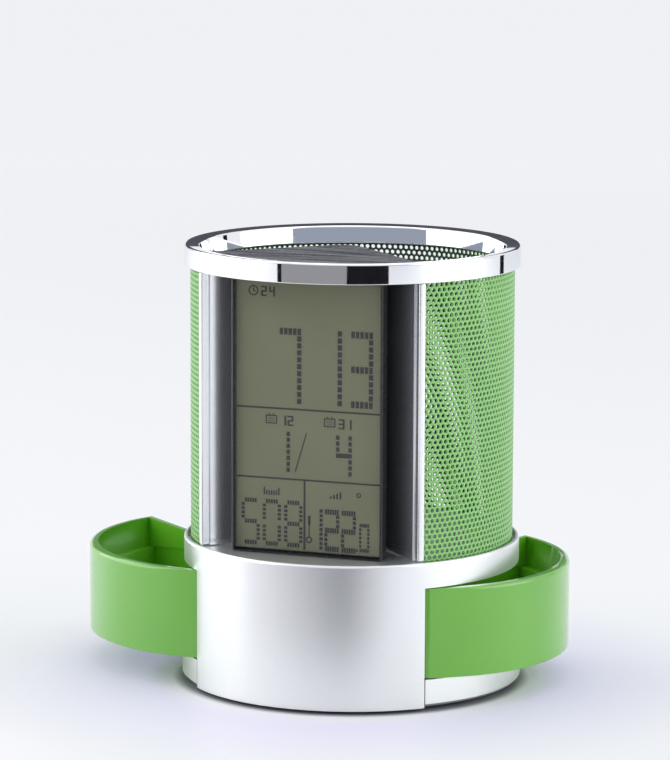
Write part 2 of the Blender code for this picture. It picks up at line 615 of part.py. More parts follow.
def base_plate():
    profile = [(0, PLATE_FLOOR_TOP), (SHELL_BORE, PLATE_FLOOR_TOP), (SHELL_BORE, PLATE_TOP),
               (OUTER_RADIUS, PLATE_TOP), (OUTER_RADIUS, BASE_BOTTOM + EDGE_ROUND),
               (OUTER_RADIUS - EDGE_ROUND, BASE_BOTTOM), (0, BASE_BOTTOM)]
    plate = turned("base_plate", profile, PARTS, SILVER_PAINT, ROUND_STEPS)

    rim_stop = SEAM_ANGLE + degrees(GAP / OUTER_RADIUS)
    front = ring_part(SHELL_BORE - GAP, OUTER_RADIUS + OVERRUN, -rim_stop, rim_stop)
    cut(plate, prism("apron_clearance", [front], BASE_BOTTOM - OVERRUN, PLATE_TOP + OVERRUN))

    well_outer = WELL_HALF_WIDTH + WELL_WALL
    join(plate, box("well_block", (-well_outer, WELL_FRONT - WELL_WALL, BASE_BOTTOM + PLATE_FLOOR / 2),
                    (well_outer, WELL_BACK + WELL_WALL, WELL_TOP)))
    rib_end = SHELL_BORE + SHELL_WALL / 2
    for side in SIDES.values():
        for angle in RIB_ANGLES:
            turn = radians(side * angle)
            rib = box("plate_rib", (-RIB_WIDTH / 2, RIB_START, BASE_BOTTOM + PLATE_FLOOR / 2),
                      (RIB_WIDTH / 2, rib_end, PLATE_TOP))
            middle = (RIB_START + rib_end) / 2
            rib.location.x = middle * sin(turn)
            rib.location.y = -middle * cos(turn)
            rib.rotation_euler.z = turn
            join(plate, rib)

    for name, side in SIDES.items():
        hinge = (side * HINGE[0], HINGE[1])
        join(plate, cylinder("lower_boss_" + name, KNUCKLE_RADIUS, (*hinge, BASE_BOTTOM + PLATE_FLOOR / 2),
                             (*hinge, PLATE_TOP)))
        cut(plate, cylinder("lower_pin_hole_" + name, PIN_RADIUS + GAP, (*hinge, PLATE_TOP - PIN_SEAT_BOTTOM),
                            (*hinge, PLATE_TOP + OVERRUN)))

    door_screw = (0, DOOR_SCREW_Y)
    join(plate, cylinder("door_boss", DOOR_BOSS_RADIUS, (*door_screw, BASE_BOTTOM + PLATE_FLOOR / 2),
                         (*door_screw, BASE_BOTTOM + DOOR_BOSS_HEIGHT)))
    head_top = BASE_BOTTOM + SCREW_RECESS + SCREW_HEAD_HEIGHT
    for name, screw in SCREW_PLACES.items():
        join(plate, cylinder(name + "_pillar", SCREW_PILLAR_RADIUS, (*screw, BASE_BOTTOM + PLATE_FLOOR / 2),
                             (*screw, PLATE_TOP)))
        cut(plate, cylinder(name + "_bore", SCREW_SHANK_RADIUS + GAP, (*screw, BASE_BOTTOM - OVERRUN),
                            (*screw, PLATE_TOP + OVERRUN)))
        cut(plate, cylinder(name + "_counterbore", SCREW_HEAD_RADIUS + GAP, (*screw, BASE_BOTTOM - OVERRUN),
                            (*screw, head_top + GAP)))

    cut(plate, cylinder("door_pilot", DOOR_SCREW_SHANK_RADIUS + GAP, (*door_screw, BASE_BOTTOM - OVERRUN),
                        (*door_screw, BASE_BOTTOM + DOOR_SPOT_DEPTH + DOOR_SCREW_GRIP + OVERRUN)))
    cut(plate, box("door_rebate", (-DOOR_HALF_WIDTH - GAP, DOOR_FRONT - GAP, BASE_BOTTOM - OVERRUN),
                   (DOOR_HALF_WIDTH + GAP, DOOR_BACK + GAP, DOOR_TOP + GAP)))
    cut(plate, box("well_space", (-WELL_HALF_WIDTH, WELL_FRONT, BASE_BOTTOM - OVERRUN),
                   (WELL_HALF_WIDTH, WELL_BACK, WELL_CEILING)))
    for name, y in (("front", WELL_FRONT), ("back", WELL_BACK - PLATE_CONTACT_THICKNESS - 2 * GAP)):
        tab = CONTACT_TAB_HALF_WIDTH + GAP
        cut(plate, box("tab_slot_" + name, (-tab, y, WELL_CEILING - OVERRUN),
                       (tab, y + PLATE_CONTACT_THICKNESS + 2 * GAP, WELL_TOP + OVERRUN)))

    for name, angle in FOOT_ANGLES.items():
        place_of_foot = spot(FOOT_CIRCLE, angle)
        cut(plate, cylinder(name + "_recess", FOOT_RADIUS + GAP, (*place_of_foot, BASE_BOTTOM - OVERRUN),
                            (*place_of_foot, BASE_BOTTOM + FOOT_RECESS)))


# Trays, drawn shut in the pot's own plan and then swung about their hinges

def tray_front():
    """Front inner corner of the right tray, and the way its front wall runs, touching the knuckle."""
    corner = (TRAY_INNER_X, HINGE[1] + TRAY_FRONT_STEP)
    run = (HINGE[0] - corner[0], HINGE[1] - corner[1])
    length = hypot(*run)
    tilt = asin(KNUCKLE_RADIUS / length)
    along = (run[0] / length, run[1] / length)
    wall = (along[0] * cos(tilt) + along[1] * sin(tilt), along[1] * cos(tilt) - along[0] * sin(tilt))
    return corner, wall


def tray_outline():
    """Plan of the right tray, shut: front wall, knuckle, outer wall on the pot's circle, inner wall."""
    corner, wall = tray_front()
    knuckle = arc(KNUCKLE_RADIUS, bearing((wall[1], -wall[0])), HINGE_ANGLE, HINGE, CORNER_STEP_ANGLE)
    back_angle = 180 - degrees(asin(TRAY_INNER_X / TRAY_RADIUS))
    return [corner] + knuckle + arc(TRAY_RADIUS, HINGE_ANGLE, back_angle)[1:]


def tray_hollow(arc_inset=0):
    """Plan of the right tray's hollow, which keeps clear of the knuckle."""
    corner, wall = tray_front()
    start = (corner[0] + TRAY_WALL, corner[1] + TRAY_WALL)
    radius = TRAY_RADIUS - TRAY_WALL - arc_inset
    clear = KNUCKLE_RADIUS + GAP
    chord = sqrt((clear ** 2 - (radius - HINGE_RADIUS) ** 2) / (4 * radius * HINGE_RADIUS))
    arc_start = HINGE_ANGLE + degrees(2 * asin(chord))
    meeting = spot(radius, arc_start)
    arc_way = (meeting[0] - HINGE[0], meeting[1] - HINGE[1])
    knuckle = arc(clear, bearing((-wall[0], -wall[1])), bearing(arc_way), HINGE, CORNER_STEP_ANGLE)
    back_angle = 180 - degrees(asin(start[0] / radius))
    return [start] + knuckle + arc(radius, arc_start, back_angle)[1:]


def tray(name, side, open_angle):
    """One tray, with its origin on its hinge."""
    bottom = PLATE_TOP + GAP
    top = BAND_BOTTOM - GAP
    floor_top = bottom + TRAY_FLOOR
    ledge = top - TRAY_LEDGE_DROP
    body = moved(tray_outline(), HINGE)
    upper = moved(tray_hollow(), HINGE)
    lower = moved(tray_hollow(TRAY_LEDGE_WIDTH), HINGE)
    if side < 0:
        body, upper, lower = mirrored(body), mirrored(upper), mirrored(lower)
    hinge = (side * HINGE[0], HINGE[1], 0)
    turn = radians(-side * open_angle)
    made = prism(name, [body], bottom, top, PARTS, GREEN_PLASTIC, hinge)
    made.rotation_euler.z = turn
    bevel(made, TRAY_EDGE_ROUND, 2)
    hollow_top = prism(name + "_upper_hollow", [upper], ledge, top + OVERRUN, location=hinge)
    hollow_low = prism(name + "_lower_hollow", [lower], floor_top, ledge + OVERRUN, location=hinge)
    for hollow in (hollow_top, hollow_low):
        hollow.rotation_euler.z = turn
        cut(made, hollow)
    cut(made, cylinder(name + "_pin_hole", PIN_RADIUS + GAP, (hinge[0], hinge[1], bottom - OVERRUN),
                       (hinge[0], hinge[1], top + OVERRUN)))


def hinge_pin(name, side):
    hinge = (side * HINGE[0], HINGE[1])
    low = PLATE_TOP - PIN_SEAT_BOTTOM + GAP
    high = BAND_BOTTOM + PIN_SEAT_TOP - GAP
    cylinder(name, PIN_RADIUS, (*hinge, low), (*hinge, high), PARTS, PIN_STEEL)


# Screws and feet

def screw(name, place_of_head, shank, head_radius, head_height, length):
    """Pan-head screw that points up, with a cross recess in its head."""
    tip = head_height + length
    profile = [(0, tip), (shank * SCREW_TIP_SHARE, tip), (shank, tip - shank), (shank, head_height),
               (head_radius, head_height), (head_radius, head_height * SCREW_RIM_SHARE),
               (head_radius * SCREW_FACE_SHARE, 0), (0, 0)]
    made = turned(name, profile, PARTS, SCREW_STEEL, SCREW_STEPS, place_of_head)
    x, y, z = place_of_head
    across = (head_radius * SCREW_SLOT_SHARE, SCREW_SLOT_WIDTH / 2)
    for wide, deep in (across, across[::-1]):
        cut(made, box(name + "_recess", (x - wide, y - deep, z - OVERRUN),
                      (x + wide, y + deep, z + SCREW_SLOT_DEPTH)))


def fasteners():
    shank = PLATE_TOP + SCREW_GRIP - BASE_BOTTOM - SCREW_RECESS - SCREW_HEAD_HEIGHT
    for name, (x, y) in SCREW_PLACES.items():
        screw(name, (x, y, BASE_BOTTOM + SCREW_RECESS), SCREW_SHANK_RADIUS, SCREW_HEAD_RADIUS,
              SCREW_HEAD_HEIGHT, shank)
    head_bottom = DECK_UNDERSIDE - GAP - SCREW_HEAD_HEIGHT
    shank = GAP + DECK_THICKNESS + MODULE_SCREW_GRIP
    for name, x in MODULE_SCREWS.items():
        screw(name, (x, MODULE_SCREW_Y, head_bottom), SCREW_SHANK_RADIUS, SCREW_HEAD_RADIUS,
              SCREW_HEAD_HEIGHT, shank)
    screw("door_screw", (0, DOOR_SCREW_Y, BASE_BOTTOM + GAP / 2), DOOR_SCREW_SHANK_RADIUS,
          DOOR_SCREW_HEAD_RADIUS, DOOR_SPOT_DEPTH - GAP, DOOR_SCREW_GRIP)


def feet():
    top = BASE_BOTTOM + FOOT_RECESS - GAP
    bottom = BASE_BOTTOM - FOOT_HEIGHT
    edge = FOOT_HEIGHT * FOOT_EDGE_SHARE
    for name, angle in FOOT_ANGLES.items():
        x, y = spot(FOOT_CIRCLE, angle)
        profile = [(0, top), (FOOT_RADIUS, top), (FOOT_RADIUS, bottom + edge), (FOOT_RADIUS - edge, bottom),
                   (0, bottom)]
        turned(name, profile, PARTS, RUBBER, SMALL_STEPS, (x, y, 0))


# Battery, its contacts, leads and door

def battery():
    """Round cell lying along Y, its nub towards the back."""
    body = CELL_LENGTH - CELL_NUB_LENGTH
    shoulder = CELL_RADIUS - CELL_CRIMP
    profile = [(0, CELL_LENGTH), (CELL_NUB_RADIUS, CELL_LENGTH), (CELL_NUB_RADIUS, body), (shoulder, body),
               (CELL_RADIUS, body - CELL_CRIMP), (CELL_RADIUS, CELL_CRIMP), (shoulder, 0), (0, 0)]
    cell = turned("battery", profile, PARTS, CELL_JACKET, SMALL_STEPS, (0, -CELL_LENGTH / 2, CELL_HEIGHT))
    cell.rotation_euler.x = -pi / 2


def battery_spring():
    """Conical coil from the well's front wall to the cell."""
    count = SPRING_TURNS * SPRING_STEPS
    wall = WELL_FRONT + GAP + SPRING_WIRE_RADIUS
    tip = -CELL_LENGTH / 2 - GAP - SPRING_WIRE_RADIUS
    curve = bpy.data.curves.new("battery_spring", "CURVE")
    curve.dimensions = "3D"
    curve.bevel_depth = SPRING_WIRE_RADIUS
    curve.bevel_resolution = 1
    curve.use_fill_caps = True
    spline = curve.splines.new("POLY")
    spline.points.add(count)
    for i, point in enumerate(spline.points):
        share = i / count
        radius = SPRING_LARGE_RADIUS + (SPRING_SMALL_RADIUS - SPRING_LARGE_RADIUS) * share
        turn = 2 * pi * i / SPRING_STEPS
        point.co = (radius * cos(turn), wall + (tip - wall) * share, CELL_HEIGHT + radius * sin(turn), 1)
    from_curve(curve, "battery_spring", PARTS, SPRING_STEEL)


def contact_plate(name, low_y):
    """Upright plate contact with a solder tab through the well's ceiling."""
    high_y = low_y + PLATE_CONTACT_THICKNESS
    half = PLATE_CONTACT_HALF_WIDTH
    made = box(name, (-half, low_y, CELL_HEIGHT - half), (half, high_y, WELL_CEILING - GAP),
               PARTS, SPRING_STEEL)
    tab = CONTACT_TAB_HALF_WIDTH
    join(made, box(name + "_tab", (-tab, low_y, CELL_HEIGHT), (tab, high_y, TAB_TOP)))


def lead(name, surface, points):
    """Round wire through a few chosen points, its corners eased."""
    curve = bpy.data.curves.new(name, "CURVE")
    curve.dimensions = "3D"
    curve.bevel_depth = LEAD_RADIUS
    curve.bevel_resolution = 1
    curve.use_fill_caps = True
    spline = curve.splines.new("POLY")
    eased = [Vector(points[0])]
    for before, corner, after in zip(points, points[1:], points[2:]):
        before, corner, after = Vector(before), Vector(corner), Vector(after)
        reach = min((corner - before).length, (after - corner).length) * LEAD_EASE_SHARE
        entry = corner + (before - corner).normalized() * reach
        exit_point = corner + (after - corner).normalized() * reach
        for share in LEAD_EASE_POINTS:
            eased.append(entry.lerp(corner, share).lerp(corner.lerp(exit_point, share), share))
    eased.append(Vector(points[-1]))
    spline.points.add(len(eased) - 1)
    for point, place_of_point in zip(spline.points, eased):
        point.co = (*place_of_point, 1)
    from_curve(curve, name, PARTS, surface)


def leads():
    """Both wires rise from their contact tabs, run in the spine and pass up into the module."""
    height = TAB_TOP + (DECK_UNDERSIDE - TAB_TOP) / 2
    solder = CIRCUIT_BACK + GAP + LEAD_RADIUS
    top = circuit_height(SENSOR_SHARE)
    side = CABLE_HOLE_RADIUS / 2
    back_tab = WELL_BACK - PLATE_CONTACT_THICKNESS / 2 - GAP
    front_tab = WELL_FRONT + GAP + PLATE_CONTACT_THICKNESS / 2
    start = TAB_TOP + GAP
    for name, surface, x, tab_y in (("lead_positive", LEAD_RED, side, back_tab),
                                    ("lead_negative", LEAD_BLACK, -side, front_tab)):
        lead(name, surface, [(0, tab_y, start), (0, tab_y, height - side), (x, tab_y - side, height),
                             (x, CABLE_HOLE_Y, height), (x, CABLE_HOLE_Y, top - side), (x, solder, top)])


def battery_door():
    door = box("battery_door", (-DOOR_HALF_WIDTH, DOOR_FRONT, BASE_BOTTOM),
               (DOOR_HALF_WIDTH, DOOR_BACK, DOOR_TOP), PARTS, GREY_PLASTIC)
    below = (0, DOOR_SCREW_Y, BASE_BOTTOM - OVERRUN)
    cut(door, cylinder("door_screw_hole", DOOR_SCREW_SHANK_RADIUS + GAP, below,
                       (0, DOOR_SCREW_Y, DOOR_TOP + OVERRUN)))
    cut(door, cylinder("door_screw_spot", DOOR_SCREW_HEAD_RADIUS + GAP, below,
                       (0, DOOR_SCREW_Y, BASE_BOTTOM + DOOR_SPOT_DEPTH)))


# Buttons, their rubber pad and their board

def buttons():
    length = OUTER_RADIUS + BUTTON_PROUD - FLANGE_BACK
    edge = EDGE_ROUND / 2
    profile = [(0, length), (BUTTON_RADIUS - edge, length), (BUTTON_RADIUS, length - edge),
               (BUTTON_RADIUS, BUTTON_FLANGE), (BUTTON_FLANGE_RADIUS, BUTTON_FLANGE),
               (BUTTON_FLANGE_RADIUS, 0), (0, 0)]
    for name, (x, z) in BUTTON_PLACES.items():
        made = turned(name, profile, PARTS, BLACK_PLASTIC, SMALL_STEPS, (x, FLANGE_BACK, z))
        made.rotation_euler.x = -pi / 2


def button_back():
    half_x = SPINE_HALF_WIDTH - SPINE_WALL - SIDE_PLAY
    half_z = BUTTON_SPACING_Z / 2 + BUTTON_FLANGE_RADIUS + PAD_MARGIN
    low = BUTTON_HEIGHT - half_z
    high = BUTTON_HEIGHT + half_z
    pad = box("button_pad", (-half_x, PAD_BACK, low), (half_x, PAD_FACE, high), PARTS, RUBBER)
    for name, (x, z) in BUTTON_PLACES.items():
        join(pad, cylinder(name + "_dome", PAD_DOME_RADIUS, (x, PAD_BACK + PAD_THICKNESS / 2, z),
                           (x, DOME_FACE, z)))
    box("button_board", (-half_x, BUTTON_BOARD_FACE - BOARD_THICKNESS, low),
        (half_x, BUTTON_BOARD_FACE, high), PARTS, CIRCUIT_GREEN)


# Perforated sheet

def hole_cutters(bottom, top):
    """Staggered rows of radial holes, all in one mesh."""
    first_angle = SHEET_START_ANGLE + degrees(HOLE_MARGIN / SHEET_RADIUS)
    span = FULL_TURN_ANGLE - 2 * first_angle
    row_pitch = HOLE_PITCH * sin(radians(HOLE_ROW_ANGLE))
    rows = floor((top - bottom - 2 * HOLE_MARGIN) / row_pitch) + 1
    columns = floor(span / degrees(HOLE_PITCH / SHEET_RADIUS))
    column_angle = span / columns
    first_height = (top + bottom - (rows - 1) * row_pitch) / 2
    depth = SHEET_THICKNESS + 2 * OVERRUN
    middle = SHEET_RADIUS - SHEET_THICKNESS / 2
    lying = Matrix.Rotation(pi / 2, 4, "X") @ Matrix.Rotation(pi / HOLE_SIDES, 4, "Z")
    shape = bmesh.new()
    for row in range(rows):
        stagger = row % 2
        height = first_height + row * row_pitch
        for column in range(columns + 1 - stagger):
            angle = first_angle + (column + stagger / 2) * column_angle
            turn = Matrix.Rotation(radians(angle), 4, "Z")
            where = Matrix.Translation((*spot(middle, angle), height)) @ turn
            bmesh.ops.create_cone(shape, cap_ends=True, segments=HOLE_SIDES, radius1=HOLE_RADIUS,
                                  radius2=HOLE_RADIUS, depth=depth, matrix=where @ lying)
    mesh = bpy.data.meshes.new("sheet_holes")
    shape.to_mesh(mesh)
    shape.free()
    return place(mesh, "sheet_holes", CUTTERS, None)


def mesh_sheet():
    bottom = CHANNEL_BOTTOM + GAP
    top = TOP - RING_CEILING - GAP
    outline = wall_part(SHEET_RADIUS - SHEET_THICKNESS, SHEET_RADIUS, SHEET_START_ANGLE)
    sheet = prism("mesh_sheet", [outline], bottom, top, PARTS, SHEET_PAINT)
    cut(sheet, hole_cutters(RIM_TOP, RING_BOTTOM))


# Top ring with the quadrant roof

def bay_outline(reach, inset=0):
    """Plan of the wedge from its rounded inner corner out to a radius, its sides moved in by inset."""
    radius = BAY_CORNER_RADIUS - inset
    centre = (0, -BAY_CORNER_RADIUS / sin(radians(BAY_ANGLE)))
    corner = arc(radius, 90 + BAY_ANGLE, 270 - BAY_ANGLE, centre, CORNER_STEP_ANGLE)
    shift = (-inset * cos(radians(BAY_ANGLE)), -inset * sin(radians(BAY_ANGLE)))
    x, y = spot(reach, BAY_ANGLE)
    end = (x + shift[0], y + shift[1])
    return end, corner, (-end[0], end[1])


def top_ring():
    groove_outer = RING_RADIUS - RING_SKIRT
    groove_inner = SHEET_RADIUS - SHEET_THICKNESS - CHANNEL_PLAY
    ceiling = TOP - RING_CEILING
    bore_bottom = RING_BOTTOM + RING_BORE_RISE
    inner_top = TOP - RING_SLOPE
    edge = EDGE_ROUND * EDGE_SHARE
    profile = [(RING_BORE + EDGE_ROUND, inner_top), (RING_RADIUS - EDGE_ROUND, TOP),
               (RING_RADIUS - edge, TOP - edge), (RING_RADIUS, TOP - EDGE_ROUND),
               (RING_RADIUS, RING_BOTTOM), (groove_outer, RING_BOTTOM), (groove_outer, ceiling),
               (groove_inner, ceiling), (groove_inner, bore_bottom), (RING_BORE + RING_LIP, bore_bottom),
               (RING_BORE, bore_bottom + RING_LIP), (RING_BORE, inner_top - EDGE_ROUND),
               (RING_BORE + edge, inner_top - edge)]
    ring = turned("top_ring", profile, PARTS, CHROME, ROUND_STEPS, closed=True)
    reach = RING_BORE + EDGE_ROUND
    right, corner, left = bay_outline(reach)
    web = [right] + corner + [left] + arc(reach, -BAY_ANGLE, BAY_ANGLE)[1:-1]
    join(ring, prism("roof_web", [web], ROOF_UNDERSIDE, ROOF_TOP))


# Clock bay: two reveals that meet in a rounded corner, with a post at each outer edge

def clock_bay():
    bottom = RIM_TOP + GAP
    right, corner, left = bay_outline(POST_INNER_RADIUS + POST_ROUND)
    right_in, corner_in, left_in = bay_outline(POST_INNER_RADIUS + POST_ROUND, BAY_WALL)
    reveals = [right] + corner + [left, left_in] + corner_in[::-1] + [right_in]
    bay = prism("clock_bay", [reveals], bottom, CASE_TOP, PARTS, SILVER_PAINT)
    post_plan = ring_part(POST_INNER_RADIUS, POST_OUTER_RADIUS, POST_START_ANGLE, POST_STOP_ANGLE)
    for name, outline in (("right", post_plan), ("left", mirrored(post_plan))):
        post = prism("bay_post_" + name, [outline], bottom, RING_BOTTOM)
        bevel(post, POST_ROUND, 2)
        join(bay, post)
    skirt = [(RING_RADIUS + OVERRUN, TOP), (RING_RADIUS + OVERRUN, RING_BOTTOM - GAP),
             (RING_BORE - GAP, RING_BOTTOM - GAP), (RING_BORE - GAP, TOP)]
    cut(bay, turned("ring_clearance", skirt, CUTTERS, None, ROUND_STEPS, closed=True))


# Display

def lcd_bezel():
    """Thin frame: a front lip on three sides of the display, a flat sill below, deeper sides behind."""
    half = BEZEL_HALF_WIDTH
    front = -PANEL_FACE
    bezel = box("lcd_bezel", (-half, front, BEZEL_BOTTOM), (half, BEZEL_BACK, BEZEL_TOP), PARTS, GREY_PLASTIC)
    bevel(bezel, GAP)
    cut(bezel, box("bezel_view", (-half + BEZEL_BORDER, front - OVERRUN, BEZEL_BOTTOM + BEZEL_SILL),
                   (half - BEZEL_BORDER, BEZEL_BACK + OVERRUN, BEZEL_TOP - BEZEL_BORDER)))
    cut(bezel, box("bezel_rebate", (-half + BEZEL_SIDE, front + BEZEL_LIP, BEZEL_BOTTOM + BEZEL_SILL),
                   (half - BEZEL_SIDE, BEZEL_BACK + OVERRUN, BEZEL_TOP - BEZEL_SIDE)))


def display_stack():
    """Window, glass and reflector, each seated in the bezel's rebate."""
    half = BEZEL_HALF_WIDTH - BEZEL_SIDE - GAP
    low = BEZEL_BOTTOM + BEZEL_SILL + GAP
    high = BEZEL_TOP - BEZEL_SIDE - GAP
    box("lcd_window", (-half, WINDOW_FRONT, low), (half, WINDOW_FRONT + WINDOW_THICKNESS, high),
        PARTS, CLEAR_PLASTIC)
    box("lcd_panel", (-half, GLASS_FRONT, low), (half, GLASS_BACK, high), PARTS, DISPLAY_GLASS)
    box("lcd_reflector", (-half, REFLECTOR_FRONT, low + GLASS_LEDGE),
        (half, REFLECTOR_FRONT + REFLECTOR_THICKNESS, high - GLASS_LEDGE), PARTS, FOIL)
    half = CIRCUIT_HALF_WIDTH - STRIP_INSET
    for name, bottom in (("contact_strip_lower", CIRCUIT_BOTTOM),
                         ("contact_strip_upper", CIRCUIT_TOP - STRIP_HEIGHT)):
        box(name, (-half, GLASS_BACK + GAP, bottom), (half, CIRCUIT_FRONT - GAP, bottom + STRIP_HEIGHT),
            PARTS, RUBBER)


# Module case behind the display, and what it holds

def case_outline(inset=0, front_overrun=0):
    """Plan of the tapering case, or of its hollow."""
    front = CASE_FRONT - front_overrun
    back = CASE_BACK - inset
    halves = [case_half_width(y) - inset for y in (front, back)]
    return [(-halves[0], front), (halves[0], front), (halves[1], back), (-halves[1], back)]


def module_case():
    case = prism("module_case", [case_outline()], BEZEL_BOTTOM, CASE_TOP, PARTS, BLACK_PLASTIC)
    floor_top = BEZEL_BOTTOM + CASE_WALL
    cut(case, prism("case_hollow", [case_outline(CASE_WALL, OVERRUN)], floor_top, CASE_TOP - CASE_WALL))
    post_back = CASE_BACK - CASE_WALL / 2
    for share in CASE_POST_SHARES:
        height = circuit_height(share)
        join(case, cylinder("case_post", CASE_POST_RADIUS, (0, CIRCUIT_BACK + GAP, height),
                            (0, post_back, height)))
    boss_top = BEZEL_BOTTOM + MODULE_BOSS_HEIGHT
    for name, x in MODULE_SCREWS.items():
        centre = (x, MODULE_SCREW_Y)
        join(case, cylinder(name + "_boss", MODULE_BOSS_RADIUS, (*centre, BEZEL_BOTTOM + CASE_WALL / 2),
                            (*centre, boss_top)))
        cut(case, cylinder(name + "_pilot", SCREW_SHANK_RADIUS + GAP, (*centre, BEZEL_BOTTOM - OVERRUN),
                           (*centre, boss_top + OVERRUN)))
    cut(case, cylinder("case_cable_hole", CABLE_HOLE_RADIUS, (0, CABLE_HOLE_Y, BEZEL_BOTTOM - OVERRUN),
                       (0, CABLE_HOLE_Y, floor_top + OVERRUN)))


def circuit():
    half = CIRCUIT_HALF_WIDTH
    box("circuit_board", (-half, CIRCUIT_FRONT, CIRCUIT_BOTTOM), (half, CIRCUIT_BACK, CIRCUIT_TOP),
        PARTS, CIRCUIT_GREEN)
    face = CIRCUIT_BACK + GAP
    blob = [(CHIP_RADIUS * sin(radians(turn)), CHIP_HEIGHT * cos(radians(turn))) for turn in QUARTER_ANGLES]
    chip = turned("clock_chip", blob + [(0, 0)], PARTS, BLACK_PLASTIC, SMALL_STEPS,
                  (0, face, circuit_height(CHIP_SHARE)))
    chip.rotation_euler.x = -pi / 2
    height = circuit_height(CRYSTAL_SHARE)
    crystal_y = face + CRYSTAL_RADIUS
    cylinder("crystal", CRYSTAL_RADIUS, (-CRYSTAL_LENGTH / 2, crystal_y, height),
             (CRYSTAL_LENGTH / 2, crystal_y, height), PARTS, SPRING_STEEL)
    height = circuit_height(BUZZER_SHARE)
    buzzer_top = face + BUZZER_HEIGHT
    buzzer = cylinder("buzzer", BUZZER_RADIUS, (0, face, height), (0, buzzer_top, height),
                      PARTS, BLACK_PLASTIC)
    cut(buzzer, cylinder("buzzer_port", BUZZER_PORT_RADIUS, (0, buzzer_top - BUZZER_PORT_DEPTH, height),
                         (0, buzzer_top + OVERRUN, height)))
    height = circuit_height(SENSOR_SHARE)
    sensor_x = half * SENSOR_SIDE_SHARE
    cylinder("temperature_sensor", SENSOR_RADIUS, (sensor_x, face, height),
             (sensor_x, face + SENSOR_HEIGHT, height), PARTS, SCREW_STEEL)


base_shell()
base_plate()
tray("left_tray", SIDES["left"], LEFT_OPEN_ANGLE)
tray("right_tray", SIDES["right"], RIGHT_OPEN_ANGLE)
hinge_pin("left_hinge_pin", SIDES["left"])
hinge_pin("right_hinge_pin", SIDES["right"])
fasteners()
feet()
battery()
battery_spring()
contact_plate("battery_plate_contact", WELL_BACK - PLATE_CONTACT_THICKNESS - GAP)
leads()
battery_door()
buttons()
button_back()
mesh_sheet()
top_ring()
clock_bay()
lcd_bezel()
display_stack()
module_case()
circuit()
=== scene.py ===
"""Dresses the pen holder clock: finishes for every solid, the fine perforated wall, the polished
rim and the display's marks. Metres, +Z up, the display looks along -Y. Angles are in degrees from
the front, counted towards +X."""

import json
from math import asin, ceil, cos, degrees, pi, radians, sin, sqrt

import bmesh
import bpy
from mathutils import Matrix, Vector

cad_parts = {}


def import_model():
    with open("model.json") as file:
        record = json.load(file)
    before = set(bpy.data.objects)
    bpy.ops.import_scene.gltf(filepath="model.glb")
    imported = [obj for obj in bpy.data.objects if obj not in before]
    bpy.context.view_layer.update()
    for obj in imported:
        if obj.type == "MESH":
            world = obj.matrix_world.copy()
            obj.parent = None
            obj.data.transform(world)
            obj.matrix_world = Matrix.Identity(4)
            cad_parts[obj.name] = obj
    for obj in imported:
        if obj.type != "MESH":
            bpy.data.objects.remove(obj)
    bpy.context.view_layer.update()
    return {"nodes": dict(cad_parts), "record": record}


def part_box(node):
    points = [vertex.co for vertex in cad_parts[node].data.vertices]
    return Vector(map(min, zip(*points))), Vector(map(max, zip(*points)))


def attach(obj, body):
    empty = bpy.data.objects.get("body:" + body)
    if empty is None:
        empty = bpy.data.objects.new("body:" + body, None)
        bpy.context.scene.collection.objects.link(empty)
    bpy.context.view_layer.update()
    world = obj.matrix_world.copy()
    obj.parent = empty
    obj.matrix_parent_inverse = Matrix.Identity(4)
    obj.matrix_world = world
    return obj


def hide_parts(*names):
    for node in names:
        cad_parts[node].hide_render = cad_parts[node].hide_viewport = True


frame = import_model()

MM = 0.001
EASE_SEGMENTS = 5

# What counts as one point, as a sharp edge, as flat and as facing the front
MERGE = 0.002 * MM
SHARP_ANGLE = radians(35)
FLAT_ANGLE = radians(0.5)
FACING = 0.99

# Base: the solids' own sizes, and how far moulding draft and rounding go beyond them
PLATE_SKIN = 49.0 * MM
TRAY_RADIUS = 49.8 * MM
SOLID_EASE = 0.11 * MM
TRAY_RIM_ROUND = 1.2 * MM
LEDGE_INSET = 2.8 * MM
LEDGE_DROP = 9 * MM
LEDGE_GROWTH = 2.2 * MM
HEART_DROP = 1 * MM
BASE_GROWTH = 0.7 * MM
APRON_ANGLE = 48
GROWTH_RUN = 25
KNUCKLE_RADIUS = 2.3 * MM
KNUCKLE_STEPS = 64
PIN_BORE = 0.95 * MM

# Display frame
BEZEL_BORDER = 0.8 * MM
BEZEL_SILL = 0.15 * MM
BEZEL_ROUND = 0.45 * MM
BEZEL_BACK_WALL = 0.3 * MM
BEZEL_SEGMENTS = 4
SILVER_DEPTH = 2.1 * MM

# Where the brass band on the cell's jacket starts
BAND_START = 12 * MM

# Camera, found from the outlines of the base, rim and trays. Its angle is counted from the front.
CAMERA_PLACE = (0.39721, -1.08273, 0.27199)
CAMERA_LENS = 186.3
VIEW_ANGLE = 20.4
VIEW_RISE = 9.041
VIEW_ROLL = 0.198
VIEW_TURN = (Matrix.Rotation(radians(VIEW_ANGLE), 4, "Z") @ Matrix.Rotation(radians(90 - VIEW_RISE), 4, "X")
             @ Matrix.Rotation(radians(VIEW_ROLL), 4, "Z"))


# Small helpers

def linear(code):
    """Linear colour of an sRGB hex value."""
    values = [int(code[i:i + 2], 16) / 255 for i in (1, 3, 5)]
    return tuple(v / 12.92 if v <= 0.04045 else ((v + 0.055) / 1.055) ** 2.4 for v in values) + (1,)


def spot(radius, angle):
    """Plan point at a radius and an angle from the front."""
    return (radius * sin(radians(angle)), -radius * cos(radians(angle)))


# Finishes

def feed(node, inputs):
    """Gives a node's inputs their values or links."""
    for name, value in inputs.items():
        socket = node.inputs[name]
        if isinstance(value, bpy.types.NodeSocket):
            node.id_data.links.new(value, socket)
        else:
            socket.default_value = value


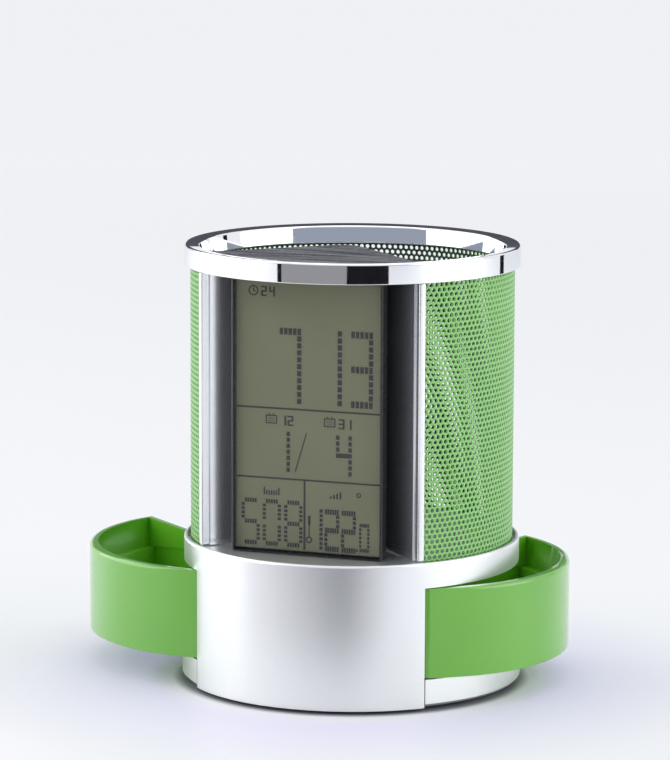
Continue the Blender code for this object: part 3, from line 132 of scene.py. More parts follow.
def add(tree, kind, settings=None, inputs=None):
    """One shader node with its settings, and values or links for its inputs."""
    made = tree.nodes.new("ShaderNode" + kind)
    for name, value in (settings or {}).items():
        setattr(made, name, value)
    feed(made, inputs or {})
    return made


def finish(name, **sockets):
    """New material, and its shader with values for some of its inputs."""
    made = bpy.data.materials.new(name)
    made.use_nodes = True
    shader = made.node_tree.nodes["Principled BSDF"]
    feed(shader, {socket.replace("_", " "): value for socket, value in sockets.items()})
    return made, shader


def grain(shader, size, detail=2, stretch=(1, 1, 1)):
    """Noise whose lumps are about size across, stretched along some axes."""
    tree = shader.id_data
    place = add(tree, "TexCoord").outputs["Object"]
    scaled = add(tree, "Mapping", None, {"Vector": place, "Scale": [1 / (size * s) for s in stretch]})
    noise = add(tree, "TexNoise", None, {"Vector": scaled.outputs["Vector"], "Scale": 1, "Detail": detail})
    return noise.outputs["Fac"]


def vary(shader, pattern, tints=None, rough=None, relief=None, spread=(0.3, 0.7), tint_share=1):
    """Lets a pattern run a surface between two tints and two roughnesses, or raise it by a relief of a
    depth and a strength. Spread says between which of the pattern's values that happens. Gives the
    tint back."""
    tree = shader.id_data
    tint = None
    steps = {"Value": pattern, "From Min": spread[0], "From Max": spread[1]}
    if tints:
        share = add(tree, "MapRange", None, {**steps, "To Max": tint_share}).outputs["Result"]
        first, second = (linear(code) if isinstance(code, str) else code for code in tints)
        tint = add(tree, "Mix", {"data_type": "RGBA"}, {"Factor": share, 6: first, 7: second}).outputs[2]
        feed(shader, {0: tint})
    if rough:
        gloss = add(tree, "MapRange", None, {**steps, "To Min": rough[0], "To Max": rough[1]})
        feed(shader, {"Roughness": gloss.outputs["Result"]})
    if relief:
        bump = add(tree, "Bump", None, {"Height": pattern, "Distance": relief[0], "Strength": relief[1]})
        feed(shader, {"Normal": bump.outputs["Normal"]})
    return tint


def silver_paint(name, dark, pale, rough):
    """Satin silver paint sprayed on ABS. Its fine flakes break the light into a soft metal sheen, and
    wide clouds show where it lies a little thicker."""
    made, shader = finish(name, Metallic=0.85)
    clouds = vary(shader, grain(shader, size=14 * MM), tints=(pale, dark), tint_share=0.25)
    # The real flakes are several times finer, too fine to show
    vary(shader, grain(shader, size=0.16 * MM, detail=1), tints=(dark, clouds),
         rough=(rough - 0.02, rough + 0.02), relief=(0.005 * MM, 0.06))
    return made


def green_abs(name, polish):
    """Moulded leaf green ABS. A faint mould grain, drawn coarse enough to show, softens its gloss, and
    a polished mould makes it shine more."""
    made, shader = finish(name, IOR=1.53, Specular_IOR_Level=0.3, Coat_Weight=polish,
                          Coat_Roughness=0.14, Coat_IOR=1.7)
    vary(shader, grain(shader, size=25 * MM, detail=1), tints=("#5aa717", "#60ad1d"))
    vary(shader, grain(shader, size=0.5 * MM), rough=(0.36, 0.46), relief=(0.015 * MM, 0.3))
    return made


def sheet_paint():
    """Leaf green powder coat on perforated steel. Its fine orange peel gives a soft gloss."""
    made, shader = finish("green_powder_coat", IOR=1.5, Coat_Weight=0.6, Coat_Roughness=0.35,
                          Sheen_Weight=0.25, Sheen_Roughness=0.4)
    vary(shader, grain(shader, size=0.7 * MM, detail=1), tints=("#79bb5c", "#83c166"),
         rough=(0.36, 0.48), relief=(0.02 * MM, 0.3))
    return made


def sheet_back():
    """Dark paint on the sheet's inner face, with a dull sheen. Its darkness is partly its own paint and
    partly painted shade for the dim inside of the pot.
    """
    made, shader = finish("dark_inner_paint_and_shade")
    # Partly painted shade: the inner face is far darker than the green outside
    vary(shader, grain(shader, size=0.8 * MM), tints=("#17332b", "#1d3d34"), rough=(0.42, 0.58))
    return made


def chrome():
    """Bright chrome plate on ABS. Long soft waves from the moulding bend its reflections, and faint
    wipe marks dull them a little."""
    made, shader = finish("chrome_plate", Base_Color=linear("#f3f4f6"), Metallic=1)
    vary(shader, grain(shader, size=9 * MM, detail=1), relief=(0.02 * MM, 0.4))
    vary(shader, grain(shader, size=2 * MM, detail=3), rough=(0.02, 0.06))
    return made


def streaked_chrome():
    """Chrome over long level flow lines of the moulding, which show as hazy and clear streaks."""
    made, shader = finish("streaked_chrome_plate", Metallic=1)
    vary(shader, grain(shader, size=1.3 * MM, detail=3, stretch=(22, 1, 1)), spread=(0.38, 0.62),
         tints=("#d9dadd", "#f3f4f6"), rough=(0.06, 0.2), relief=(0.01 * MM, 0.3))
    return made


def metal(name, tint, rough, size):
    """Plated or drawn steel. Streaks from its making, drawn coarse enough to show, vary its gloss."""
    made, shader = finish(name, Metallic=1)
    vary(shader, grain(shader, size, detail=3, stretch=(1, 1, 4)), tints=(tint, "#3a3a3c"),
         tint_share=0.4, rough=(rough * 0.7, rough * 1.3), relief=(0.01 * MM, 0.3))
    return made


def moulded(name, dark, pale, rough, size):
    """Moulded plastic or rubber. Its eroded grain, drawn coarse enough to show, keeps it from shining
    evenly."""
    made, shader = finish(name, IOR=1.5)
    vary(shader, grain(shader, size, detail=3), tints=(dark, pale), rough=(rough - 0.07, rough + 0.07),
         relief=(0.03 * MM, 0.4))
    return made


def display_glass():
    """Grey-green polarised glass over a silvered backing. A very faint mottle keeps it from looking
    flat."""
    made, shader = finish("polarised_glass", IOR=1.5, Specular_IOR_Level=0.2)
    vary(shader, grain(shader, size=18 * MM, detail=1), tints=("#656747", "#696b4c"), rough=(0.4, 0.5))
    return made


def display_ink():
    """Switched-on liquid crystal, near black with a brown cast and no gloss of its own."""
    made, shader = finish("liquid_crystal_on", Roughness=0.5, Specular_IOR_Level=0.1)
    vary(shader, grain(shader, size=6 * MM, detail=1), tints=("#0e0e0b", "#141411"), spread=(0, 1))
    return made


def clear_window():
    """Clear acrylic window. Most of what the eye gets is its gloss."""
    made, shader = finish("clear_acrylic", Base_Color=linear("#f4f6f6"), Alpha=0.03, IOR=1.49)
    vary(shader, grain(shader, size=4 * MM), rough=(0.04, 0.09))
    return made


def foil():
    """Matt aluminium reflector foil with a fine rolled line."""
    made, shader = finish("rolled_foil", Base_Color=linear("#c9c9c6"), Metallic=1)
    vary(shader, grain(shader, size=0.4 * MM, stretch=(12, 1, 1)), rough=(0.3, 0.42))
    return made


def solder_mask():
    """Green solder mask with copper tracks showing as paler lines."""
    made, shader = finish("solder_mask", Roughness=0.4)
    tree = made.node_tree
    tracks = add(tree, "TexBrick", {"offset": 0.5}, {
        "Vector": add(tree, "TexCoord").outputs["Object"], "Scale": 1, "Color1": linear("#0d4a26"),
        "Color2": linear("#0f5a2c"), "Mortar": linear("#2f7a45"), "Mortar Size": 0.15 * MM,
        "Brick Width": 4.5 * MM, "Row Height": 1.3 * MM})
    feed(shader, {"Base Color": tracks.outputs["Color"]})
    vary(shader, tracks.outputs["Fac"], relief=(0.03 * MM, 1))
    return made


def cell_jacket():
    """Shrink film on the cell: a plain dark jacket with one brass band at its nub end, and small
    crinkles across it."""
    made, shader = finish("shrink_film", Roughness=0.25, Metallic=0.3)
    tree = made.node_tree
    place = add(tree, "TexCoord").outputs["Object"]
    along = add(tree, "SeparateXYZ", None, {"Vector": place}).outputs["Y"]
    band = add(tree, "Math", {"operation": "GREATER_THAN"}, {0: along, 1: BAND_START}).outputs["Value"]
    vary(shader, band, tints=("#1c2c4c", "#b98a45"), spread=(0, 1))
    vary(shader, grain(shader, size=1.2 * MM, stretch=(1, 5, 1)), relief=(0.03 * MM, 0.3))
    return made


FINISHES = {
    "silver_paint": silver_paint("silver_paint_on_abs", "#eceef1", "#f4f5f7", rough=0.32),
    "green_plastic": green_abs("moulded_green_abs", polish=1),
    "chrome": chrome(),
    "sheet_paint": sheet_paint(),
    "pin_steel": metal("drawn_steel", "#b9bbbf", rough=0.25, size=0.3 * MM),
    "screw_steel": metal("dark_zinc_plate", "#8a8b90", rough=0.32, size=0.4 * MM),
    "spring_steel": metal("nickel_plate", "#d6d4cc", rough=0.2, size=0.3 * MM),
    "rubber": moulded("black_rubber", "#151515", "#1e1e1e", rough=0.8, size=0.5 * MM),
    "black_plastic": moulded("black_abs", "#121214", "#1a1a1c", rough=0.5, size=0.4 * MM),
    "grey_plastic": moulded("dark_grey_abs", "#252527", "#2b2b2e", rough=0.3, size=0.4 * MM),
    "clear_plastic": clear_window(),
    "display_glass": display_glass(),
    "foil": foil(),
    "circuit_green": solder_mask(),
    "cell_jacket": cell_jacket(),
    "lead_red": moulded("red_wire_cover", "#8e1414", "#a11a18", rough=0.45, size=0.6 * MM),
    "lead_black": moulded("black_wire_cover", "#161616", "#202020", rough=0.45, size=0.6 * MM),
}
ROOF_CHROME = streaked_chrome()
TRAY_INSIDE = green_abs("satin_green_abs", polish=0.2)
BAY_SILVER = silver_paint("polished_silver_paint", "#e8eaed", "#f0f1f3", rough=0.22)
SHEET_BACK = sheet_back()
DISPLAY_INK = display_ink()

for part in frame["record"]["subparts"]:
    shown = frame["nodes"][part["node"]].data
    shown.materials.clear()
    shown.materials.append(FINISHES[part["material_slot"]])


# Pieces

def mesh_object(name, shape, *surfaces):
    """Object of a finished mesh, with its materials."""
    mesh = bpy.data.meshes.new(name)
    shape.to_mesh(mesh)
    shape.free()
    for surface in surfaces:
        mesh.materials.append(surface)
    made = bpy.data.objects.new(name, mesh)
    bpy.context.scene.collection.objects.link(made)
    return made


def piece(name, shape, body, slot, *surfaces):
    """Piece of the clock that rides on a body."""
    made = mesh_object(name, shape, *surfaces)
    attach(made, body)
    return made


def smooth(made, even=True):
    """Round faces shade smooth, edges stay sharp, and flat faces keep their own flat shading."""
    made.data.shade_smooth()
    made.data.set_sharp_from_angle(angle=SHARP_ANGLE)
    if even:
        normals = made.modifiers.new("even_normals", "WEIGHTED_NORMAL")
        normals.keep_sharp = True


def merged(node):
    """Copy of a solid's mesh with its triangles joined."""
    shape = bmesh.new()
    shape.from_mesh(frame["nodes"][node].data)
    bmesh.ops.remove_doubles(shape, verts=shape.verts, dist=MERGE)
    bmesh.ops.dissolve_limit(shape, angle_limit=FLAT_ANGLE, verts=shape.verts, edges=shape.edges)
    return shape


def carried(node, shape, body, slot, *surfaces):
    """A solid's finer copy, whose round faces shade smooth."""
    made = piece("fine_" + node, shape, body, slot, *surfaces)
    smooth(made)
    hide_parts(node)


def verts_in(items):
    """The vertices among the things that an operator made."""
    return [item for item in items if isinstance(item, bmesh.types.BMVert)]


def whole(shape):
    """All vertices, edges and faces."""
    return shape.verts[:] + shape.edges[:] + shape.faces[:]


def profile_loop(shape, points):
    """Vertices of a closed profile, for turning, and the edges between them."""
    verts = [shape.verts.new((radius, 0, height)) for radius, height in points]
    return verts + [shape.edges.new(pair) for pair in zip(verts, verts[1:] + verts[:1])]


def corner_edges(shape, radius, height):
    """Edges of the circle that runs through one profile corner."""
    near = {vert for vert in shape.verts
            if abs(vert.co.xy.length - radius) < MERGE and abs(vert.co.z - height) < MERGE}
    return [edge for edge in shape.edges if edge.verts[0] in near and edge.verts[1] in near]


def turned(shape, loop, steps):
    """Turns a profile all the way round the axis and joins its ends."""
    bmesh.ops.spin(shape, geom=loop, axis=(0, 0, 1), cent=(0, 0, 0), angle=2 * pi, steps=steps,
                   use_merge=True)
    bmesh.ops.remove_doubles(shape, verts=shape.verts, dist=MERGE)


def eased(shape, edges, offset, segments=EASE_SEGMENTS):
    """Rounds edges."""
    bmesh.ops.bevel(shape, geom=edges, offset=offset, offset_type="OFFSET", affect="EDGES",
                    segments=segments, profile=0.5, material=-1)


def ease_in(share):
    """Smooth rise from 0 to 1."""
    share = min(1, max(0, share))
    return share * share * (3 - 2 * share)


# Base, bay and trays

def base_plate():
    """The dish under the trays. Its rim grows out a little behind the apron's seam, as moulding draft."""
    shape = merged("base_plate")
    for vert in shape.verts:
        away = vert.co.xy
        if away.length > PLATE_SKIN:
            angle = abs(degrees(away.angle_signed(Vector((0, -1)))))
            vert.co.xy = away * (1 + BASE_GROWTH * ease_in((angle - APRON_ANGLE) / GROWTH_RUN) / away.length)
    carried("base_plate", shape, "pot", "silver_paint", FINISHES["silver_paint"])


def widen_ledge(shape, centre, top):
    """Moves the inner edge of a tray's ledge inwards."""
    for vert in shape.verts:
        away = vert.co.xy - centre
        at_edge = abs(TRAY_RADIUS - away.length - LEDGE_INSET) < SOLID_EASE
        if at_edge and vert.co.z < top - LEDGE_DROP + SOLID_EASE:
            vert.co.xy = centre + away.normalized() * (away.length - LEDGE_GROWTH)


def grow_skin(shape, centre, hinge, top):
    """Lets a tray's round skin grow out a little away from its hinge, and rounds its rim more there."""
    for vert in shape.verts:
        away = vert.co.xy - centre
        inset = TRAY_RADIUS - away.length
        if inset > 2 * SOLID_EASE:
            continue
        share = ease_in(abs(degrees(away.angle_signed(hinge - centre))) / GROWTH_RUN)
        drop = top - vert.co.z
        if drop < 2 * SOLID_EASE:
            rounder = 1 + share * (TRAY_RIM_ROUND / SOLID_EASE - 1)
            inset *= rounder
            vert.co.z = top - drop * rounder
        vert.co.xy = centre + away.normalized() * (TRAY_RADIUS - inset + BASE_GROWTH * share)


def satin_inside(shape, top):
    """Gives the second material to the faces that look towards a point inside, a little under the
    rim."""
    ledge = [vert.co for vert in shape.verts if abs(vert.co.z - top + LEDGE_DROP) < SOLID_EASE]
    heart = sum(ledge, Vector()) / len(ledge)
    heart.z = top - HEART_DROP
    shape.normal_update()
    for face in shape.faces:
        face.material_index = face.normal.dot(heart - face.calc_center_median()) > 0


def tray(node):
    """A tray, found from its hinge and from how far it stands open, with a knuckle round its pin."""
    shape = merged(node)
    joint = next(joint for joint in frame["record"]["behaviour"]["joints"] if joint["child"] == node)
    hinge = Vector(joint["pos_m"][:2])
    opened = radians(-joint["range_deg"][0] * joint["axis"][2])
    centre = hinge - Matrix.Rotation(opened, 2) @ hinge
    heights = [vert.co.z for vert in shape.verts]
    low, top = min(heights), max(heights)
    widen_ledge(shape, centre, top)
    grow_skin(shape, centre, hinge, top)
    satin_inside(shape, top)
    carried(node, shape, node, "green_plastic", FINISHES["green_plastic"], TRAY_INSIDE)
    knuckle(node, hinge, low, top)


def knuckle(node, hinge, low, high):
    """Round knuckle at a tray's front end, bored for the hinge pin."""
    shape = bmesh.new()
    corners = [(PIN_BORE, high), (KNUCKLE_RADIUS, high), (KNUCKLE_RADIUS, low), (PIN_BORE, low)]
    turned(shape, profile_loop(shape, corners), KNUCKLE_STEPS)
    for height in (low, high):
        eased(shape, corner_edges(shape, KNUCKLE_RADIUS, height), SOLID_EASE)
    bmesh.ops.translate(shape, verts=shape.verts, vec=(*hinge, 0))
    bmesh.ops.recalc_face_normals(shape, faces=shape.faces)
    made = piece(node + "_knuckle", shape, node, "green_plastic", FINISHES["green_plastic"])
    smooth(made)
    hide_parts(node)


carried("base_shell", merged("base_shell"), "pot", "silver_paint", FINISHES["silver_paint"])
carried("clock_bay", merged("clock_bay"), "pot", "silver_paint", BAY_SILVER)
base_plate()
for node in ("left_tray", "right_tray"):
    tray(node)


# Display frame

def sink_window(shape, low, high):
    """Opens the frame's front and sinks straight walls from it down to the glass."""
    shape.normal_update()
    front = max((face for face in shape.faces if face.normal.y < -FACING), key=lambda face: face.calc_area())
    bmesh.ops.inset_region(shape, faces=[front], thickness=BEZEL_BORDER - BEZEL_ROUND)
    for vert in front.verts:
        if vert.co.z < (low.z + high.z) / 2:
            vert.co.z = low.z + BEZEL_SILL
    pushed = bmesh.ops.extrude_face_region(shape, geom=[front])["geom"]
    bmesh.ops.translate(shape, verts=verts_in(pushed), vec=(0, (high - low).y - BEZEL_BACK_WALL, 0))
    bmesh.ops.delete(shape, geom=[front], context="FACES_ONLY")
    bmesh.ops.recalc_face_normals(shape, faces=shape.faces)


def lit_silver_side(shape, low):
    """Gives the second material to the left side, as deep as the silver reaches. The lighter left side is
    painted light.
    """
    bmesh.ops.bisect_plane(shape, geom=whole(shape), dist=MERGE, plane_co=(0, low.y + SILVER_DEPTH, 0),
                           plane_no=(0, 1, 0))
    for face in shape.faces:
        middle = face.calc_center_median()
        # Painted light and shade: only the left side gets silver, the right side stays dark
        face.material_index = middle.x < low.x + BEZEL_ROUND / 2 and middle.y < low.y + SILVER_DEPTH


def bezel():
    """Dark frame with rounded front edges and a silver left side. Silver on the left only is painted light,
    and the right side kept dark is painted shade, for how the light falls on the two sides.
    """
    low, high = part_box("lcd_bezel")
    shape = bmesh.new()
    bmesh.ops.create_cube(shape, size=1, matrix=Matrix.Translation((low + high) / 2)
                          @ Matrix.Diagonal((*(high - low), 1)))
    rounded = [edge for edge in shape.edges
               if all(vert.co.y < low.y + MERGE for vert in edge.verts)
               and any(vert.co.z > low.z + MERGE for vert in edge.verts)]
    eased(shape, rounded, BEZEL_ROUND, BEZEL_SEGMENTS)
    sink_window(shape, low, high)
    lit_silver_side(shape, low)
    carried("lcd_bezel", shape, "pot", "grey_plastic", FINISHES["grey_plastic"], BAY_SILVER)


bezel()


# Perforated sheet: four bent panels of round holes

HOLE_RADIUS = 0.60 * MM
HOLE_PITCH = 1.76 * MM
HOLE_SIDES = 12
CELL_CORNER = HOLE_PITCH / sqrt(3)
ROW_PAIR = 3 * CELL_CORNER
PANELS = 4
SHEET_LOW, SHEET_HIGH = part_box("mesh_sheet")
SHEET_RADIUS = SHEET_HIGH.x
SHEET_THICKNESS = 0.5 * MM
SHEET_START_ANGLE = 45.88


def hole_pair():
    """Two staggered six-sided cells, each round a hole."""
    shape = bmesh.new()
    for middle in ((0, 0, 0), (HOLE_PITCH / 2, 1.5 * CELL_CORNER, 0)):
        where = Matrix.Translation(middle)
        known = set(shape.edges)
        corners = bmesh.ops.create_circle(shape, segments=6, radius=CELL_CORNER, matrix=where)["verts"]
        rim = {edge for vert in corners for edge in vert.link_edges}
        bmesh.ops.subdivide_edges(shape, edges=list(rim), cuts=1)
        bmesh.ops.create_circle(shape, segments=HOLE_SIDES, radius=HOLE_RADIUS, matrix=where)
        bmesh.ops.bridge_loops(shape, edges=[edge for edge in shape.edges if edge not in known])
    return shape


def repeat(shape, count, step):
    """The same faces again and again, each a step further."""
    faces = shape.faces[:]
    for number in range(1, count):
        copy = bmesh.ops.duplicate(shape, geom=faces)["geom"]
        bmesh.ops.translate(shape, verts=verts_in(copy), vec=Vector(step) * number)


def trim(shape, place, way):
    """Cuts away what lies beyond a plane."""
    bmesh.ops.bisect_plane(shape, geom=whole(shape), dist=MERGE, plane_co=place, plane_no=way,
                           clear_outer=True)


def flat_panel(length, height, first, last):
    """Flat perforated panel. Its sides follow the cells, apart from the sheet's own two ends."""
    columns = round(length / HOLE_PITCH)
    shape = hole_pair()
    repeat(shape, ceil(height / ROW_PAIR) + 1, (0, ROW_PAIR, 0))
    repeat(shape, columns + last, (HOLE_PITCH, 0, 0))
    bmesh.ops.remove_doubles(shape, verts=shape.verts, dist=MERGE)
    bmesh.ops.scale(shape, vec=(length / (columns * HOLE_PITCH), 1, 1), verts=shape.verts)
    trim(shape, (0, height, 0), (0, 1, 0))
    trim(shape, (0, 0, 0), (0, -1, 0))
    if first:
        trim(shape, (0, 0, 0), (-1, 0, 0))
    if last:
        trim(shape, (length, 0, 0), (1, 0, 0))
    shape.normal_update()
    if shape.faces[:][0].normal.z < 0:
        bmesh.ops.reverse_faces(shape, faces=shape.faces)
    return shape


def bend(shape, start):
    """Bends a flat panel to the pot's round, from an angle onwards."""
    for vert in shape.verts:
        x, y = spot(SHEET_RADIUS, start + degrees(vert.co.x / SHEET_RADIUS))
        vert.co = (x, y, SHEET_LOW.z + vert.co.y)


def sheet_panel(number):
    """One quarter of the sheet, with a dark inner face that is partly painted shade."""
    span = 360 - 2 * SHEET_START_ANGLE
    shape = flat_panel(radians(span) * SHEET_RADIUS / PANELS, SHEET_HIGH.z - SHEET_LOW.z,
                       first=number == 0, last=number == PANELS - 1)
    bend(shape, SHEET_START_ANGLE + number * span / PANELS)
    made = piece(f"perforated_sheet_{number + 1}", shape, "pot", "sheet_paint",
                 FINISHES["sheet_paint"], SHEET_BACK)
    wall = made.modifiers.new("wall", "SOLIDIFY")
    wall.thickness = SHEET_THICKNESS
    wall.offset = -1
    wall.material_offset = 1
    wall.material_offset_rim = 0
    smooth(made, even=False)
    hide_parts("mesh_sheet")


for number in range(PANELS):
    sheet_panel(number)


# Rim: polished ring and the roof over the display

RING_LOW, RING_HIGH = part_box("top_ring")
RING_RADIUS = RING_HIGH.x
RING_BORE = 45.2 * MM
RING_BORE_FOOT = 44.45 * MM
RING_GROOVE_OUTER = 48.4 * MM
RING_GROOVE_INNER = 47.15 * MM
RING_CEILING = 127.0 * MM
RING_BORE_LOW = 124.0 * MM
RING_INNER_TOP = 129.2 * MM
RING_TOP_EASE = 0.8 * MM
RING_FOOT_EASE = 0.25 * MM
RING_BORE_EASE = 0.45 * MM
RING_BORE_FOOT_EASE = 0.4 * MM
RING_STEPS = 240
ROOF_TOP = 129.35 * MM
ROOF_BOTTOM = 127.65 * MM
ROOF_ANGLE = 44.2
ROOF_CORNER_RADIUS = 6.5 * MM
ROOF_REACH = 46.0 * MM
ROOF_FILLET = 4.5 * MM
ROOF_EASE = 0.9 * MM
ROOF_POINT_STEPS = 16
ROOF_FILLET_STEPS = 14
ROOF_OUTER_STEPS = 60


def rim_ring():
    """Moulded channel ring with rounded edges, its top and its drafted bore leaning inwards."""
    shape = bmesh.new()
    loop = profile_loop(shape, [
        (RING_BORE, RING_INNER_TOP), (RING_RADIUS, RING_HIGH.z), (RING_RADIUS, RING_LOW.z),
        (RING_GROOVE_OUTER, RING_LOW.z), (RING_GROOVE_OUTER, RING_CEILING),
        (RING_GROOVE_INNER, RING_CEILING), (RING_GROOVE_INNER, RING_BORE_LOW),
        (RING_BORE_FOOT, RING_BORE_LOW)])
    turned(shape, loop, RING_STEPS)
    for radius, height, ease in ((RING_RADIUS, RING_HIGH.z, RING_TOP_EASE),
                                 (RING_RADIUS, RING_LOW.z, RING_FOOT_EASE),
                                 (RING_BORE, RING_INNER_TOP, RING_BORE_EASE),
                                 (RING_BORE_FOOT, RING_BORE_LOW, RING_BORE_FOOT_EASE)):
        eased(shape, corner_edges(shape, radius, height), ease)
    bmesh.ops.recalc_face_normals(shape, faces=shape.faces)
    made = piece("polished_rim", shape, "pot", "chrome", FINISHES["chrome"])
    smooth(made)
    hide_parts("top_ring")


def swept(shape, first, centre, angle, steps):
    """Arc of edges from a vertex round a centre, and its last vertex."""
    arc = bmesh.ops.spin(shape, geom=[first], axis=(0, 0, 1), cent=(*centre, 0), angle=radians(angle),
                         steps=steps)
    return arc["geom_last"][0]


def roof_outline(shape):
    """Outline of the roof: a rounded point, two straight sides and a fillet to the ring at each."""
    fillet_reach = RING_BORE - ROOF_FILLET
    fillet_angle = ROOF_ANGLE + degrees(asin(ROOF_FILLET / fillet_reach))
    side_end = sqrt(fillet_reach ** 2 - ROOF_FILLET ** 2)
    sweep = fillet_angle - ROOF_ANGLE + 90
    point_centre = (0, -ROOF_CORNER_RADIUS / sin(radians(ROOF_ANGLE)))
    start = (ROOF_CORNER_RADIUS * cos(radians(ROOF_ANGLE)),
             point_centre[1] + ROOF_CORNER_RADIUS * sin(radians(ROOF_ANGLE)))
    point = shape.verts.new((*start, ROOF_BOTTOM))
    point_end = swept(shape, point, point_centre, 180 - 2 * ROOF_ANGLE, ROOF_POINT_STEPS)
    left = shape.verts.new((*spot(side_end, -ROOF_ANGLE), ROOF_BOTTOM))
    left_end = swept(shape, left, spot(fillet_reach, -fillet_angle), -sweep, ROOF_FILLET_STEPS)
    outer = shape.verts.new((*spot(ROOF_REACH, -fillet_angle), ROOF_BOTTOM))
    outer_end = swept(shape, outer, (0, 0), 2 * fillet_angle, ROOF_OUTER_STEPS)
    right = shape.verts.new((*spot(RING_BORE, fillet_angle), ROOF_BOTTOM))
    right_end = swept(shape, right, spot(fillet_reach, fillet_angle), -sweep, ROOF_FILLET_STEPS)
    for pair in ((point_end, left), (left_end, outer), (outer_end, right), (right_end, point)):
        shape.edges.new(pair)


def roof():
    """Quarter roof over the display, with eased edges."""
    shape = bmesh.new()
    roof_outline(shape)
    face = bmesh.ops.contextual_create(shape, geom=shape.edges[:])["faces"]
    raised = bmesh.ops.extrude_face_region(shape, geom=face)["geom"]
    bmesh.ops.translate(shape, verts=verts_in(raised), vec=(0, 0, ROOF_TOP - ROOF_BOTTOM))
    bmesh.ops.recalc_face_normals(shape, faces=shape.faces)
    edges = [edge for edge in shape.edges if all(vert.co.z > ROOF_TOP - MERGE for vert in edge.verts)
             and any(vert.co.xy.length < ROOF_REACH - MERGE for vert in edge.verts)]
    eased(shape, edges, ROOF_EASE)
    made = piece("roof_plate", shape, "pot", "chrome", ROOF_CHROME)
    smooth(made)
    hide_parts("top_ring")


rim_ring()
roof()


# Display marks, a hair in front of the glass. Places on the display are x and z in mm, and all are
# moved by MARKS_SHIFT.

GLASS_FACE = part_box("lcd_panel")[0].y
MARK_FRONT = GLASS_FACE - 0.10 * MM
MARK_BACK = GLASS_FACE + 0.02 * MM
MARKS_SHIFT = Vector((-0.58, -0.28))
HOOP_SIDES = 24

STROKES = {
    0: ("top", "upper_left", "upper_right", "lower_left", "lower_right", "bottom"),
    1: ("upper_right", "lower_right"),
    2: ("top", "upper_right", "middle", "lower_left", "bottom"),
    3: ("top", "upper_right", "middle", "lower_right", "bottom"),
    4: ("upper_left", "upper_right", "middle", "lower_right"),
    5: ("top", "upper_left", "middle", "lower_right", "bottom"),
    7: ("top", "upper_right", "lower_right"),
    8: ("top", "upper_left", "upper_right", "middle", "lower_left", "lower_right", "bottom"),
}

# How each row of numbers is built: columns and rows, their pitch, and the size of the blocks
HOUR = {"grid": (5, 11), "pitch": (1.38, 2.025), "size": (1.34, 1.58), "level_size": (1.06, 1.95)}
DATE = {"grid": (5, 7), "pitch": (0.95, 1.75), "size": (1.04, 1.3)}
SECOND = {"grid": (7, 11), "pitch": (0.78, 1.25), "size": (1.0, 0.84), "corners": False,
          "level_size": (0.56, 1.25)}
DEGREE = {"grid": (6, 9), "pitch": (0.73, 1.36), "size": (0.98, 0.98), "level_size": (0.54, 1.5)}
TENTH = {"grid": (6, 7), "pitch": (0.5, 1.22), "size": (0.66, 0.84), "level_size": (0.36, 1.05)}
SMALL = {"grid": (4, 7), "pitch": (0.42, 0.42), "size": (0.5, 0.43)}

# Large numbers: style, number, left and top
NUMBERS = (
    (HOUR, 7, -8.6, 108.75), (HOUR, 1, 3.88, 108.85), (HOUR, 3, 13.42, 108.8),
    (DATE, 1, -10.1, 78.6), (DATE, 4, 9.0, 78.5),
    (SECOND, 5, -20.3, 58.2), (SECOND, 0, -13.7, 58.2), (SECOND, 8, -7.0, 58.2),
    (DEGREE, 1, 0.32, 56.45), (DEGREE, 2, 5.45, 56.35), (DEGREE, 2, 10.6, 56.3),
    (TENTH, 0, 16.2, 53.0),
)
DECIMAL_POINT = {"left": 15.25, "top": 45.5, "width": 0.45, "height": 0.8}

# Fields and the lines between them
FIELDS_LEFT = -21.7
FIELDS_RIGHT = 23.0
FIELDS_FOOT = 44.2
HOUR_FOOT = 85.3
DATE_FOOT = 64.7
SECONDS_RIGHT = -0.7
FIELD_LINE = 0.5
PARTING_LINE = 0.56
DATE_STROKE = ((-3.59, 66.96), (-0.1, 78.57))
DATE_STROKE_LINE = 0.34

# Clock sign, and the left edge of each number beside it
CLOCK_CENTRE = Vector((-16.6, 119.4))
CLOCK_RADIUS = 1.35
CLOCK_LINE = 0.36
CLOCK_HANDS = ((0, 0.9), (0.7, -0.4))
HAND_LINE = 0.3
CLOCK_NUMBERS = ((2, -14.2), (4, -11.7))
CLOCK_NUMBERS_TOP = 120.8

# Calendar signs, with places from each one's left edge
PAGE_LINE = 0.32
PAGE_WIDTH = 3.2
PAGE_LOW = 80.9
PAGE_HIGH = 83.1
PAGE_CORNER = 0.15
PAGE_RINGS = (0.9, 2.3)
PAGE_RING_TOP = 83.8
PAGE_DOTS = (0.9, 1.6, 2.3)
PAGE_DOT_TOPS = (82.5, 81.8)
PAGE_DOT = 0.34
PAGE_NUMBERS = (4.4, 6.6)
PAGE_NUMBERS_TOP = 83.3
CALENDARS = ((-12.6, (1, 2)), (5.4, (3, 1)))

# Small bars: seven for the week's days and four steps
WEEK_LEFT = -13.2
WEEK_PITCH = 0.75
WEEK_FOOT = 59.7
WEEK_TOP = 61.9
WEEK_DROP = 0.9
WEEK_LINE = 0.42
STEPS_LEFT = 7.4
STEPS_PITCH = 1.0
STEPS_FOOT = 59.8
STEPS_TOP = 60.5
STEPS_RISE = 0.45
STEPS_LINE = 0.5

# Degree ring and thermometer, whose tube is wider where it is full
DEGREE_SIGN = {"centre": (16.03, 61.34), "radius": 0.56, "width": 0.34}
THERMOMETER_BULB = {"centre": (0.72, 47.2), "radius": 0.8, "width": 0.4}
THERMOMETER_TOP = (0.8, 54.3)
THERMOMETER_TUBES = (((0.76, 48.0), 0.3), ((0.79, 51.6), 0.75))


